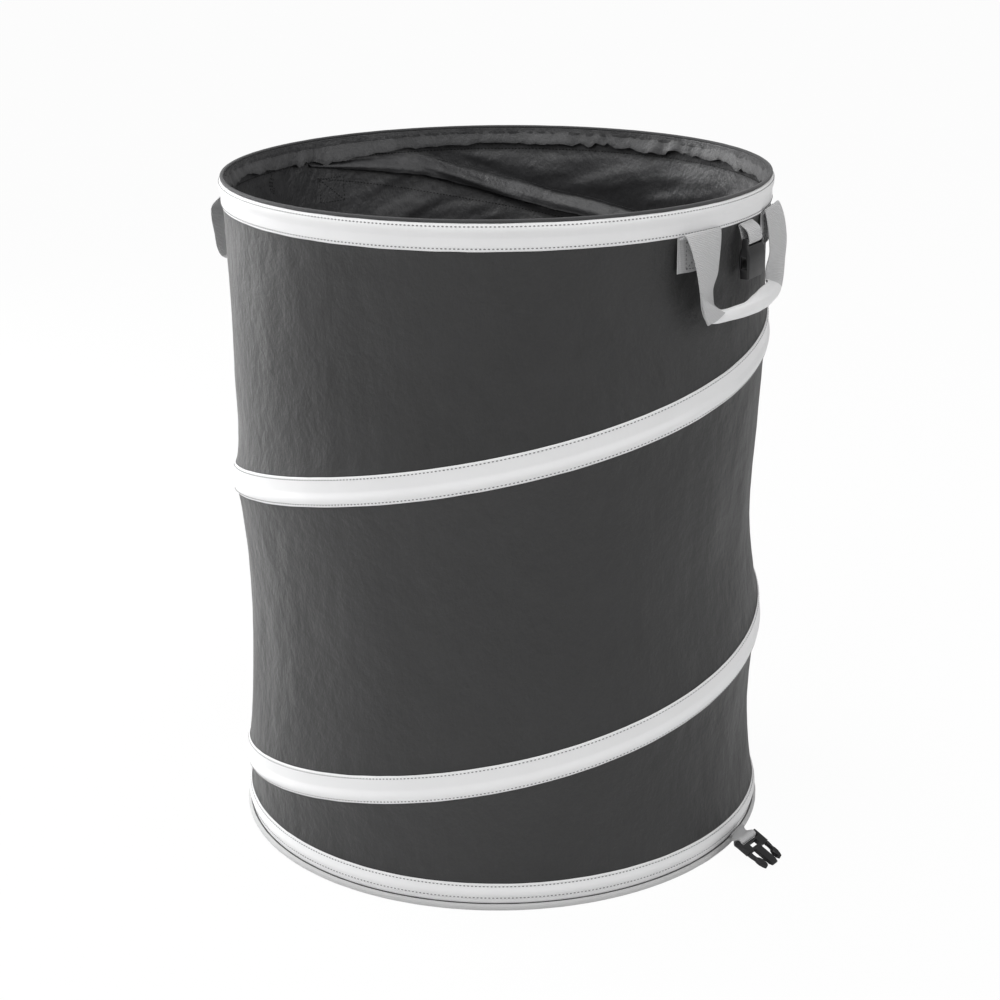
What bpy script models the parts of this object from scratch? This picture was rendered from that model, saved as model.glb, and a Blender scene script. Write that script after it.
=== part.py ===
"""Pop up leaf bag, standing open.

A cloth tube is held up by one spring wire that climbs its wall in about two turns, between a wire hoop in the
rim and another in the foot. Two webbing handles hang from the rim, on opposite sides. Between the legs of each
handle hangs a loop of webbing with a socket buckle, and a loop with the plug buckle comes out of the foot below
it, so that the collapsed bag can be clipped flat.

Metres, +Z up. The origin is on the floor, at the middle of the foot. The right handle is on +X, the left on -X.
"""

import math

import bmesh
import bpy
from mathutils import Euler, Matrix, Vector

# Whole bag
RADIUS = 0.250  # outer side of the light bands
HEIGHT = 0.622  # floor to the top of the rim
STEPS = 60  # flat sides of one turn
GAP = 0.0003  # between pieces that touch

# Cloth, tape and wire
CLOTH = 0.0008
TAPE = 0.0012
HEM = 0.0008
WIRE = 0.0030  # diameter of every spring wire
WIRE_CORNERS = 1  # bevel resolution of the wires, which gives six sides
SAG = 0.0070  # how far a tall free stretch of wall is drawn in
SAG_REACH = 0.250  # height of a free stretch that sags that far

# Rim
PIPING = 0.0028  # height of the binding on the top edge
RIM_BAND = 0.0231  # height of the light band below it
RIM_WIRE_DROP = 0.0085  # hoop below the top of the rim
CHANNEL_SIDE = 0.0070  # from a hoop to where its channel closes
WALL_TUCK = 0.0100  # how far the wall reaches up behind the rim band

# Foot
PANEL = 0.0015  # base panel
BINDING_HEIGHT = 0.0060
BINDING_DEPTH = 0.0075  # along the radius
BINDING_PROUD = 0.0030  # past the bands
TAB_SLIT = 0.0040  # between binding and base band, where the lower tabs come out
BASE_BAND = 0.0155  # height
BASE_WIRE_RISE = 0.0068  # hoop above the lower edge of the base band

# Spiral
COIL_BAND = 0.0270  # width of the spiral band
COIL_WIRE_DROP = 0.0065  # wire below the middle of the band
COIL_START_STEP = -34  # steps from +X, where the band leaves the base band
COIL_END_STEP = 86  # steps from +X, where it joins the rim band
COIL_LEAN = 0.0060  # the turns lean towards the rear right
COIL_LEAN_ANGLE = -57.5  # where they climb fastest
COIL_LIFT = 0.0367  # extra climb before the rim
COIL_LIFT_ANGLES = (465, 510)
WALL_ROW_SHARES = (1 / 3, 2 / 3)  # rows of the wall between two turns of the band

# Handles
HANDLE_WEBBING = 0.0480
HANDLE_THICKNESS = 0.0014
HANDLE_LEG_ANGLE = 15.3  # from the middle of the handle to the middle of a leg
HANDLE_DROP = 0.0770  # rim band to the bottom of the grip
HANDLE_STANDOFF = 0.0178  # bands to the middle of the grip
PATCH_HEIGHT = 0.0305  # sewn end of a handle
PATCH_SPANS = 4
# A leg, from its root to the middle of the grip: outer edge's angle, outer edge's drop, inner edge's angle,
# inner edge's drop, stand-off and thickness, as shares of the sizes above.
HANDLE_SHARES = (
    (1.36, 0.000, 0.64, 0.000, 0.00, 1.0),
    (1.36, 0.010, 0.64, 0.008, 0.36, 1.0),
    (1.35, 0.070, 0.66, 0.070, 0.72, 1.0),
    (1.30, 0.240, 0.70, 0.240, 0.94, 1.0),
    (1.25, 0.460, 0.75, 0.450, 1.00, 1.0),
    (1.20, 0.700, 0.80, 0.620, 0.98, 1.4),
    (1.14, 0.860, 0.82, 0.690, 0.95, 2.4),
    (0.98, 0.965, 0.76, 0.722, 0.95, 2.8),
    (0.72, 0.990, 0.64, 0.735, 0.97, 2.6),
    (0.36, 0.998, 0.34, 0.745, 0.99, 2.6),
    (0.00, 1.000, 0.00, 0.750, 1.00, 2.6),
)

# Webbing loops of the buckles
TAB_WEBBING = 0.0250
TAB_THICKNESS = 0.0014
BAR = 0.0030  # the buckle bar in a loop
UPPER_TAB_ANGLE = 0.8
UPPER_TAB_LENGTH = 0.0140  # root to bar
UPPER_TAB_LEAN = 27.0  # outwards from straight down
UPPER_TAB_BULGE = 0.0022
LOWER_TAB_ANGLE = 3.9
LOWER_TAB_BULGE = 0.0008
# Bar of the plug buckle: out from the bands, aside from the root of its tab, and up from the floor.
PLUG_OUT = 0.0238
PLUG_ASIDE = -0.0247
PLUG_UP = 0.0178
PLUG_YAW = -6.0
PLUG_PITCH = 25.5

# Buckles, along their length from the middle of the bar
BUCKLE_WIDTH = 0.0330
BUCKLE_SLOT = 0.0258  # width of the webbing slots
SLOT_END = 0.0049
SOCKET_BACK = 0.0020
SOCKET_LENGTH = 0.0330
SOCKET_THICKNESS = 0.0102
SOCKET_CAVITY = 0.0264
SOCKET_CAVITY_HEIGHT = 0.0064
SOCKET_CAVITY_START = 0.0100
WINDOW_START = 0.0135
WINDOW_END = 0.0240
WINDOW_HEIGHT = 0.0052
# Outline of the socket: place along its length, half its width and half its thickness.
SOCKET_SHARES = (
    (0.00, 0.96, 0.50),
    (0.22, 0.98, 0.56),
    (0.32, 1.00, 0.86),
    (0.46, 1.02, 1.00),
    (0.66, 1.00, 0.98),
    (0.80, 0.94, 0.88),
    (1.00, 0.91, 0.84),
)
CORNER_SHARE = 0.30  # of half the thickness, cut off a socket's edges
PLUG_BACK = 0.0016
PLUG_FRAME = 0.0146
PLUG_THICKNESS = 0.0048
OPEN_SLOT = (0.0073, 0.0120)
OPEN_SLOT_WIDTH = 0.0130
TONGUE_END = 0.0362
TONGUE_WIDTH = 0.0094
TONGUE_THICKNESS = 0.0036
PRONG_LENGTH = 0.0196
PRONG_THICKNESS = 0.0046
PRONG_HINGE = 0.0142  # from the middle of the buckle
# Outline of a prong: along its length, and out from the middle of the buckle in half widths.
PRONG_SHARES = (
    (0.00, 0.98),
    (0.22, 0.95),
    (0.38, 0.90),
    (0.50, 0.94),
    (0.68, 0.93),
    (0.86, 0.86),
    (1.00, 0.76),
    (1.00, 0.68),
    (0.90, 0.59),
    (0.64, 0.54),
    (0.46, 0.64),
    (0.36, 0.77),
    (0.18, 0.80),
    (0.00, 0.77),
)
EDGE = 0.0004  # bevel of the plastic edges
OVERRUN = 0.0100  # how far a cutter runs past what it cuts
CRISP_ANGLE = 35.0  # edges sharper than this stay hard

# Derived heights and radii
RIM_BAND_TOP = HEIGHT - PIPING - GAP
RIM_BAND_BOTTOM = RIM_BAND_TOP - RIM_BAND
RIM_WIRE_HEIGHT = HEIGHT - RIM_WIRE_DROP
WALL_TOP = RIM_BAND_BOTTOM + WALL_TUCK
WALL_BOTTOM = BINDING_HEIGHT + GAP
BASE_BAND_BOTTOM = BINDING_HEIGHT + TAB_SLIT
BASE_BAND_TOP = BASE_BAND_BOTTOM + BASE_BAND
BASE_WIRE_HEIGHT = BASE_BAND_BOTTOM + BASE_WIRE_RISE
BAND_INSIDE = RADIUS - TAPE
WALL_OUTSIDE = BAND_INSIDE - GAP
WALL_INSIDE = WALL_OUTSIDE - CLOTH
WIRE_CENTRE = (BAND_INSIDE + WALL_OUTSIDE) / 2
RIDGE = WIRE / 2 + GAP  # how far the cloth on each side of a wire stands off
ROOT = TAB_THICKNESS + GAP  # radius of a webbing loop's rounded root
UPPER_TAB_RADIUS = WALL_OUTSIDE + GAP + ROOT
UPPER_TAB_HEIGHT = RIM_BAND_BOTTOM - GAP - ROOT
LOWER_TAB_RADIUS = RADIUS + BINDING_PROUD
LOWER_TAB_HEIGHT = BINDING_HEIGHT + GAP + ROOT
COIL_START = COIL_START_STEP * 360 / STEPS
COIL_END = COIL_END_STEP * 360 / STEPS


def paint(name, colour, roughness, metallic=0.0):
    material = bpy.data.materials.new(name)
    material.use_nodes = True
    shader = material.node_tree.nodes["Principled BSDF"]
    shader.inputs["Base Color"].default_value = (*colour, 1)
    shader.inputs["Roughness"].default_value = roughness
    shader.inputs["Metallic"].default_value = metallic
    material.diffuse_color = (*colour, 1)
    return material


def polar(radius, angle, height=0.0):
    """The point at a radius, an angle in degrees and a height."""
    turned = math.radians(angle)
    return Vector((radius * math.cos(turned), radius * math.sin(turned), height))


def smooth(share):
    share = min(1, max(0, share))
    return share * share * (3 - 2 * share)


def mesh_from(name, shape):
    """Turn a bmesh into a mesh whose faces point out and whose round sides are smooth."""
    bmesh.ops.recalc_face_normals(shape, faces=shape.faces)
    mesh = bpy.data.meshes.new(name)
    shape.to_mesh(mesh)
    shape.free()
    mesh.shade_smooth()
    mesh.set_sharp_from_angle(angle=math.radians(CRISP_ANGLE))
    return mesh


def place(name, data, material, parent=None, location=(0, 0, 0), rotation=(0, 0, 0)):
    """Add an object with its own material to the scene."""
    thing = bpy.data.objects.new(name, data)
    thing.location = location
    thing.rotation_euler = rotation
    thing.parent = parent
    data.materials.clear()
    data.materials.append(material)
    bpy.context.collection.objects.link(thing)
    return thing


def pivot(name, parent=None, location=(0, 0, 0), rotation=(0, 0, 0)):
    """Add an empty that carries what turns or slides together."""
    thing = bpy.data.objects.new(name, None)
    thing.location = location
    thing.rotation_euler = rotation
    thing.parent = parent
    bpy.context.collection.objects.link(thing)
    return thing


def skin(loops, closed=False):
    """A solid through a row of point loops. The last loop joins the first, or each end gets a strip of faces.

    The first half of a loop runs along one side of the section, and the second half back along the other.
    """
    shape = bmesh.new()
    rows = [[shape.verts.new(point) for point in loop] for loop in loops]
    following = rows[1:] + rows[:1] if closed else rows[1:]
    for one, other in zip(rows, following):
        for i in range(len(one)):
            j = (i + 1) % len(one)
            shape.faces.new((one[i], one[j], other[j], other[i]))
    if not closed:
        for end in (rows[0], rows[-1]):
            for i in range(len(end) // 2 - 1):
                shape.faces.new((end[i], end[i + 1], end[-i - 2], end[-i - 1]))
    return shape


def ring(name, profile, material, parent=None):
    """Spin a closed profile of (radius, height) points round the bag's axis."""
    shape = bmesh.new()
    corners = [shape.verts.new((radius, 0, height)) for radius, height in profile]
    edges = [shape.edges.new((a, b)) for a, b in zip(corners, corners[1:] + corners[:1])]
    bmesh.ops.spin(
        shape,
        geom=corners + edges,
        cent=(0, 0, 0),
        axis=(0, 0, 1),
        angle=2 * math.pi,
        steps=STEPS,
        use_merge=True,
    )
    return place(name, mesh_from(name, shape), material, parent)


def wire(name, points, material, closed=False, parent=None):
    """A round wire through points."""
    curve = bpy.data.curves.new(name, "CURVE")
    curve.dimensions = "3D"
    curve.bevel_depth = WIRE / 2
    curve.bevel_resolution = WIRE_CORNERS
    curve.render_resolution_u = 0
    curve.use_fill_caps = not closed
    spline = curve.splines.new("POLY")
    spline.points.add(len(points) - 1)
    for point, at in zip(spline.points, points):
        point.co = (*at, 1)
    spline.use_cyclic_u = closed
    return place(name, curve, material, parent)


def trim(shape, height, keep_above):
    """Cut a solid at a height and close the cut."""
    cut = bmesh.ops.bisect_plane(
        shape,
        geom=shape.verts[:] + shape.edges[:] + shape.faces[:],
        dist=GAP / 100,
        plane_co=(0, 0, height),
        plane_no=(0, 0, 1),
        clear_inner=keep_above,
        clear_outer=not keep_above,
    )
    edges = [item for item in cut["geom_cut"] if isinstance(item, bmesh.types.BMEdge)]
    bmesh.ops.holes_fill(shape, edges=edges)


def coil_height(angle):
    """Height of the middle of the spiral band at an angle in degrees, counted on past a full turn."""
    low = BASE_BAND_TOP - COIL_BAND / 2
    high = RIM_BAND_BOTTOM + COIL_BAND / 2
    leans = [COIL_LEAN * math.sin(math.radians(a - COIL_LEAN_ANGLE)) for a in (COIL_START, COIL_END, angle)]
    climb = high - low - COIL_LIFT - leans[1] + leans[0]
    start, end = COIL_LIFT_ANGLES
    lift = COIL_LIFT * smooth((angle - start) / (end - start))
    return low + climb * (angle - COIL_START) / (COIL_END - COIL_START) + leans[2] - leans[0] + lift


def wire_room(angle):
    """How far the spiral wire's middle is inside the stretch between the base band and the rim band."""
    height = coil_height(angle) - COIL_WIRE_DROP
    return min(height - BASE_BAND_TOP, RIM_BAND_BOTTOM - height)


def coil_turns(angle):
    """The counted-on angles, one per turn, at which the spiral band passes an angle."""
    first = math.ceil((COIL_START - angle) / 360)
    last = math.floor((COIL_END - angle) / 360)
    return [angle + 360 * turn for turn in range(first, last + 1)]


def peak(height, low, middle, high):
    """1 at the middle, falling to 0 at low and at high."""
    if height <= middle:
        return max(0, (height - low) / (middle - low))
    return max(0, (high - height) / (high - middle))


def wall_inset(angle, height):
    """How far the wall lies inside its nominal radius: in a channel beside a wire, or drawn in between bands."""
    if height <= BASE_BAND_TOP:
        return RIDGE * peak(height, BASE_BAND_BOTTOM, BASE_WIRE_HEIGHT, BASE_BAND_TOP)
    if height >= RIM_BAND_BOTTOM:
        return 0
    below, above = BASE_BAND_TOP, RIM_BAND_BOTTOM
    for turn in coil_turns(angle):
        middle = coil_height(turn)
        low, high = middle - COIL_BAND / 2, middle + COIL_BAND / 2
        if low <= height <= high:
            depth = RIDGE * min(1, wire_room(turn) / WIRE)
            if depth <= 0:
                return 0
            low, high = max(low, BASE_BAND_TOP), min(high, RIM_BAND_BOTTOM)
            return depth * peak(height, low, middle - COIL_WIRE_DROP, high)
        if high < height:
            below = max(below, high)
        else:
            above = min(above, low)
    place_in_gap = (height - below) / (above - below)
    return SAG * 4 * place_in_gap * (1 - place_in_gap) * min(1, (above - below) / SAG_REACH)


def wall_heights(angle):
    """Heights of the wall's rows at an angle, which follow the spiral band, from below the floor up past the rim."""
    heights = []
    turns = math.ceil(HEIGHT / (coil_height(COIL_START + 360) - coil_height(COIL_START))) + 2
    middles = [coil_height(angle + 360 * turn) for turn in range(-turns, turns + 1)]
    for middle, following in zip(middles, middles[1:]):
        low, high = middle - COIL_BAND / 2, middle + COIL_BAND / 2
        free = following - COIL_BAND / 2 - high
        heights += [low, middle - COIL_WIRE_DROP, high]
        heights += [high + share * free for share in WALL_ROW_SHARES]
    return heights


def wall_panel(material):
    """One sheet whose rows climb with the spiral band, so that a column's rows join the next turn's after 360 degrees."""
    shape = bmesh.new()
    columns = []
    for step in range(STEPS):
        angle = step * 360 / STEPS
        columns.append([shape.verts.new(polar(WALL_OUTSIDE, angle, z)) for z in wall_heights(angle)])
    per_turn = 3 + len(WALL_ROW_SHARES)
    for step, column in enumerate(columns):
        last = step == STEPS - 1
        beside = columns[0][per_turn:] if last else columns[step + 1]
        for i in range(min(len(column), len(beside)) - 1):
            shape.faces.new((column[i], beside[i], beside[i + 1], column[i + 1]))
    for height in (WALL_BOTTOM, BASE_WIRE_HEIGHT, BASE_BAND_TOP, RIM_BAND_BOTTOM, WALL_TOP):
        bmesh.ops.bisect_plane(
            shape,
            geom=shape.verts[:] + shape.edges[:] + shape.faces[:],
            dist=GAP,
            plane_co=(0, 0, height),
            plane_no=(0, 0, 1),
            clear_inner=height == WALL_BOTTOM,
            clear_outer=height == WALL_TOP,
        )
    for vertex in shape.verts:
        angle = math.degrees(math.atan2(vertex.co.y, vertex.co.x))
        flat = Vector((vertex.co.x, vertex.co.y, 0))
        vertex.co -= flat.normalized() * wall_inset(angle, vertex.co.z)
    sheet = place("wall_panel", mesh_from("wall_panel", shape), material)
    thicken = sheet.modifiers.new("cloth", "SOLIDIFY")
    thicken.thickness = CLOTH
    thicken.offset = -1
    return sheet


def spiral_band(material):
    """The tape over the spiral wire, with a ridge for the wire, cut where it meets the base band and the rim band."""
    loops = []
    for step in range(COIL_START_STEP, COIL_END_STEP + 1):
        angle = step * 360 / STEPS
        middle = coil_height(angle)
        low, high, ridge = middle - COIL_BAND / 2, middle + COIL_BAND / 2, middle - COIL_WIRE_DROP
        loops.append(
            [
                polar(RADIUS, angle, low),
                polar(RADIUS + RIDGE, angle, ridge),
                polar(RADIUS, angle, high),
                polar(BAND_INSIDE, angle, high),
                polar(BAND_INSIDE + RIDGE, angle, ridge),
                polar(BAND_INSIDE, angle, low),
            ]
        )
    shape = skin(loops)
    bmesh.ops.recalc_face_normals(shape, faces=shape.faces)
    trim(shape, BASE_BAND_TOP + GAP, keep_above=True)
    trim(shape, RIM_BAND_BOTTOM - GAP, keep_above=False)
    return place("spiral_band", mesh_from("spiral_band", shape), material)


def spiral_wire(material):
    """The spring inside the spiral band, which ends just short of the base band and of the rim band."""
    angles = [step * 360 / STEPS for step in range(COIL_START_STEP, COIL_END_STEP + 1)]
    inside = [a for a in angles if wire_room(a) >= WIRE]
    points = [polar(WIRE_CENTRE, a, coil_height(a) - COIL_WIRE_DROP) for a in inside]
    return wire("spiral_wire", points, material)


def hoop(name, height, material, parent=None):
    points = [polar(WIRE_CENTRE, step * 360 / STEPS, height) for step in range(STEPS)]
    return wire(name, points, material, closed=True, parent=parent)


def foot(paints):
    base_ridge = (RADIUS + RIDGE, BASE_WIRE_HEIGHT)
    base_inner_ridge = (BAND_INSIDE + RIDGE, BASE_WIRE_HEIGHT)
    ring(
        "base_band",
        [
            (RADIUS, BASE_BAND_BOTTOM),
            base_ridge,
            (RADIUS, BASE_BAND_TOP),
            (BAND_INSIDE, BASE_BAND_TOP),
            base_inner_ridge,
            (BAND_INSIDE, BASE_BAND_BOTTOM),
        ],
        paints["tape"]("base_band"),
    )
    outside = RADIUS + BINDING_PROUD
    inside = outside - BINDING_DEPTH
    ring(
        "base_binding",
        [
            (inside, 0),
            (outside - TAPE, 0),
            (outside, TAPE),
            (outside, BINDING_HEIGHT - TAPE),
            (outside - TAPE, BINDING_HEIGHT),
            (inside, BINDING_HEIGHT),
        ],
        paints["grosgrain"]("base_binding"),
    )
    hoop("base_hoop_wire", BASE_WIRE_HEIGHT, paints["steel"]("base_hoop_wire"))
    shape = bmesh.new()
    bmesh.ops.create_circle(shape, cap_ends=True, segments=STEPS, radius=inside - GAP)
    grown = bmesh.ops.extrude_face_region(shape, geom=shape.faces[:])
    top = [item for item in grown["geom"] if isinstance(item, bmesh.types.BMVert)]
    bmesh.ops.translate(shape, verts=top, vec=(0, 0, PANEL))
    bmesh.ops.rotate(shape, verts=shape.verts, matrix=Matrix.Rotation(math.pi / 2, 3, "Z"))
    place("base_panel", mesh_from("base_panel", shape), paints["cloth"]("base_panel"))


def rim(paints):
    """The rim's pieces, on the empty that slides down when the bag collapses."""
    carrier = pivot("rim_slide", location=(0, 0, 0))
    low, high = RIM_WIRE_HEIGHT - CHANNEL_SIDE, RIM_BAND_TOP
    ring(
        "rim_band",
        [
            (RADIUS, RIM_BAND_BOTTOM),
            (RADIUS, low),
            (RADIUS + RIDGE, RIM_WIRE_HEIGHT),
            (RADIUS, high),
            (BAND_INSIDE, high),
            (BAND_INSIDE + RIDGE, RIM_WIRE_HEIGHT),
            (BAND_INSIDE, low),
            (BAND_INSIDE, RIM_BAND_BOTTOM),
        ],
        paints["tape"]("rim_band"),
        carrier,
    )
    outside = WALL_INSIDE - GAP
    beside_wire = min(outside, WIRE_CENTRE - WIRE / 2 - GAP)
    bottom = RIM_BAND_BOTTOM
    ring(
        "rim_facing",
        [
            (outside, bottom),
            (outside, low),
            (beside_wire, RIM_WIRE_HEIGHT),
            (outside, high),
            (outside - HEM, high),
            (beside_wire - HEM, RIM_WIRE_HEIGHT),
            (outside - HEM, low),
            (outside - HEM, bottom),
        ],
        paints["lining"]("rim_facing"),
        carrier,
    )
    inside, floor = outside - HEM, HEIGHT - PIPING
    rounded = PIPING / 2
    ring(
        "rim_piping",
        [
            (inside, floor),
            (RADIUS, floor),
            (RADIUS, HEIGHT - rounded),
            (RADIUS - rounded, HEIGHT),
            (inside + rounded, HEIGHT),
            (inside, HEIGHT - rounded),
        ],
        paints["piping"]("rim_piping"),
        carrier,
    )
    hoop("rim_hoop_wire", RIM_WIRE_HEIGHT, paints["steel"]("rim_hoop_wire"), carrier)
    return carrier


def patch_mesh(middle):
    """The flat sewn end of a handle, curved with the wall, round an angle."""
    inside = WALL_OUTSIDE + GAP
    outside = inside + HANDLE_THICKNESS
    half = math.degrees(HANDLE_WEBBING / 2 / RADIUS)
    top = RIM_BAND_BOTTOM - GAP
    loops = []
    for step in range(PATCH_SPANS + 1):
        angle = middle - half + 2 * half * step / PATCH_SPANS
        corners = ((inside, top - PATCH_HEIGHT), (outside, top - PATCH_HEIGHT), (outside, top), (inside, top))
        loops.append([polar(radius, angle, height) for radius, height in corners])
    return mesh_from("patch", skin(loops))


def handle_root():
    """Radius at which a leg folds out, so that its flat halves clear the curved sewn end."""
    quarter = HANDLE_WEBBING / 4 / RADIUS
    return (WALL_OUTSIDE + HANDLE_THICKNESS + 2 * GAP) / math.cos(quarter)


def handle_axis():
    """The fold line of a handle: level, across the roots of its two legs."""
    root = polar(handle_root(), HANDLE_LEG_ANGLE)
    return Vector((root.x, 0, RIM_BAND_BOTTOM - GAP - HANDLE_THICKNESS / 2))


def handle_mesh():
    """A strap that folds out under the rim band, hangs down, turns in a diagonal fold and makes a doubled grip."""
    axis = handle_axis()
    root = handle_root()
    reach = RADIUS + HANDLE_STANDOFF - root
    drop = HANDLE_DROP - (RIM_BAND_BOTTOM - axis.z)
    rows = []
    for side in (-1, 1):
        half = []
        for outer, outer_drop, inner, inner_drop, standoff, thickness in HANDLE_SHARES:
            radius = root + standoff * reach
            angles = (outer, (outer + inner) / 2, inner)
            drops = (outer_drop, (outer_drop + inner_drop) / 2, inner_drop)
            line = [polar(radius, side * a * HANDLE_LEG_ANGLE, axis.z - d * drop) for a, d in zip(angles, drops)]
            half.append((line, thickness * HANDLE_THICKNESS))
        rows += half if side < 0 else half[-2::-1]
    loops = []
    for i, (line, thickness) in enumerate(rows):
        before, after = rows[max(0, i - 1)][0], rows[min(len(rows) - 1, i + 1)][0]
        along = after[0] + after[-1] - before[0] - before[-1]
        normal = along.cross(line[0] - line[-1]).normalized() * thickness / 2
        loops.append([point + normal - axis for point in line] + [point - normal - axis for point in line[::-1]])
    return mesh_from("handle", skin(loops))


def loop_path(length, bulge):
    """The middle line of a webbing loop, as (along, off) points: round its root, out, round the bar and back."""
    near = TAB_THICKNESS / 2 + GAP
    far = BAR / math.sqrt(2) + GAP + TAB_THICKNESS / 2
    path = []
    for turn in (90, 135, 180, 225, 270):
        path.append((near * math.cos(math.radians(turn)), near * math.sin(math.radians(turn))))
    for share in (0.3, 0.6, 0.85):
        path.append((share * length, -near - smooth(share) * (far - near)))
    for turn in (-90, -45, 0, 45, 90):
        path.append((length + far * math.cos(math.radians(turn)), far * math.sin(math.radians(turn))))
    for share in (0.8, 0.6, 0.4, 0.2):
        path.append((share * length, near + share * (far - near) + bulge * math.sin(math.pi * share)))
    return path


def loop_mesh(length, bulge, put):
    """A loop of webbing. put turns (along, across, off) into a point."""
    path = loop_path(length, bulge)
    loops = []
    for i, (along, off) in enumerate(path):
        before, after = path[i - 1], path[(i + 1) % len(path)]
        run = Vector((after[0] - before[0], after[1] - before[1])).normalized()
        side = Vector((-run.y, run.x)) * TAB_THICKNESS / 2
        loop = []
        for across, sign in ((-1, -1), (1, -1), (1, 1), (-1, 1)):
            loop.append(put(along + sign * side.x, across * TAB_WEBBING / 2, off + sign * side.y))
        loops.append(loop)
    return mesh_from("loop", skin(loops, closed=True))


def upper_tab_frame():
    """Where the upper tab's root is, how it points, and where it holds the bar of the socket."""
    root = polar(UPPER_TAB_RADIUS, UPPER_TAB_ANGLE, UPPER_TAB_HEIGHT)
    turn = Matrix.Rotation(math.radians(UPPER_TAB_ANGLE), 3, "Z")
    lean = math.radians(UPPER_TAB_LEAN)
    along = turn @ Vector((math.sin(lean), 0, -math.cos(lean)))
    off = turn @ Vector((math.cos(lean), 0, math.sin(lean)))
    across = turn @ Vector((0, 1, 0))
    return root, along, across, off


def upper_tab_mesh():
    root, along, across, off = upper_tab_frame()

    def put(u, v, w):
        return along * u + across * v + off * w

    return loop_mesh(UPPER_TAB_LENGTH, UPPER_TAB_BULGE, put)


def lower_tab_frame():
    """Where the lower tab's root and the bar of the plug are."""
    root = polar(LOWER_TAB_RADIUS, LOWER_TAB_ANGLE, LOWER_TAB_HEIGHT)
    bar = Vector((RADIUS + PLUG_OUT, root.y + PLUG_ASIDE, PLUG_UP))
    return root, bar


def lower_tab_mesh():
    """The loop leaves the foot along the radius, is pulled aside and meets the bar of the plug squarely."""
    root, bar = lower_tab_frame()
    turn = Matrix.Rotation(math.radians(LOWER_TAB_ANGLE), 3, "Z")
    end_turn = math.radians(PLUG_YAW - LOWER_TAB_ANGLE)
    way = turn.inverted() @ (bar - root)
    along = turn @ Vector((way.x, 0, way.z)).normalized()
    across = turn @ Vector((0, 1, 0))
    off = along.cross(across)
    square = PLUG_BACK + PLUG_THICKNESS / 2  # length that lies square between the rails
    knee = turn.inverted() @ (bar - root - Matrix.Rotation(end_turn, 3, "Z") @ along * square)
    reach = math.hypot(knee.x, knee.z)
    first = turn @ Vector((knee.x, 0, knee.z)) / reach

    def put(u, v, w):
        share = smooth(u / reach)
        bend = Matrix.Rotation(end_turn * share, 3, "Z")
        past = max(0, u - reach)
        return first * (u - past) + across * knee.y * share + bend @ (along * past + across * v + off * w)

    return loop_mesh(reach + square, LOWER_TAB_BULGE, put)


def box(low, high):
    """A cutter from one corner to the other."""
    shape = bmesh.new()
    bmesh.ops.create_cube(shape, size=1)
    for vertex in shape.verts:
        vertex.co = [a if c < 0 else b for c, a, b in zip(vertex.co, low, high)]
    return shape


def carve(name, shape, cutters, edge=0.0):
    """Cut boxes out of a solid and round its edges, and return the finished mesh."""
    thing = bpy.data.objects.new(name, mesh_from(name, shape))
    bpy.context.collection.objects.link(thing)
    helpers = [thing]
    for low, high in cutters:
        cutter = bpy.data.objects.new("cutter", mesh_from("cutter", box(low, high)))
        cutter.hide_render = True
        cutter.display_type = "WIRE"
        bpy.context.collection.objects.link(cutter)
        cut = thing.modifiers.new("cut", "BOOLEAN")
        cut.operation = "DIFFERENCE"
        cut.object = cutter
        helpers.append(cutter)
    if edge:
        soften = thing.modifiers.new("edges", "BEVEL")
        soften.width = edge
        soften.segments = 1
        soften.limit_method = "ANGLE"
    bpy.context.view_layer.update()
    mesh = bpy.data.meshes.new_from_object(thing.evaluated_get(bpy.context.evaluated_depsgraph_get()))
    for helper in helpers:
        bpy.data.objects.remove(helper)
    return mesh


def webbing_bar_cutters(back):
    """The slot for the webbing, and the recesses that leave a thin bar between the rails."""
    half = BUCKLE_SLOT / 2
    slot = ((BAR / 2, -half, -OVERRUN), (SLOT_END, half, OVERRUN))
    above = ((-back - OVERRUN, -half, BAR / 2), (SLOT_END, half, OVERRUN))
    below = ((-back - OVERRUN, -half, -OVERRUN), (SLOT_END, half, -BAR / 2))
    behind = ((-back - OVERRUN, -half, -OVERRUN), (-BAR / 2, half, OVERRUN))
    return [slot, above, below, behind]


def socket_mesh():
    """The female half: a bar for the webbing, a body that swells and a mouth with a window on each side."""
    loops = []
    for along, width, thickness in SOCKET_SHARES:
        x = along * (SOCKET_LENGTH + SOCKET_BACK) - SOCKET_BACK
        y = width * BUCKLE_WIDTH / 2
        z = thickness * SOCKET_THICKNESS / 2
        cut = CORNER_SHARE * z
        corners = (
            (-y + cut, -z),
            (y - cut, -z),
            (y, -z + cut),
            (y, z - cut),
            (y - cut, z),
            (-y + cut, z),
            (-y, z - cut),
            (-y, -z + cut),
        )
        loops.append([Vector((x, across, off)) for across, off in corners])
    half, tall = SOCKET_CAVITY / 2, SOCKET_CAVITY_HEIGHT / 2
    cavity = ((SOCKET_CAVITY_START, -half, -tall), (SOCKET_LENGTH + OVERRUN, half, tall))
    reach = BUCKLE_WIDTH / 2 + OVERRUN
    windows = ((WINDOW_START, -reach, -WINDOW_HEIGHT / 2), (WINDOW_END, reach, WINDOW_HEIGHT / 2))
    return carve("socket", skin(loops), webbing_bar_cutters(SOCKET_BACK) + [cavity, windows])


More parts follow.
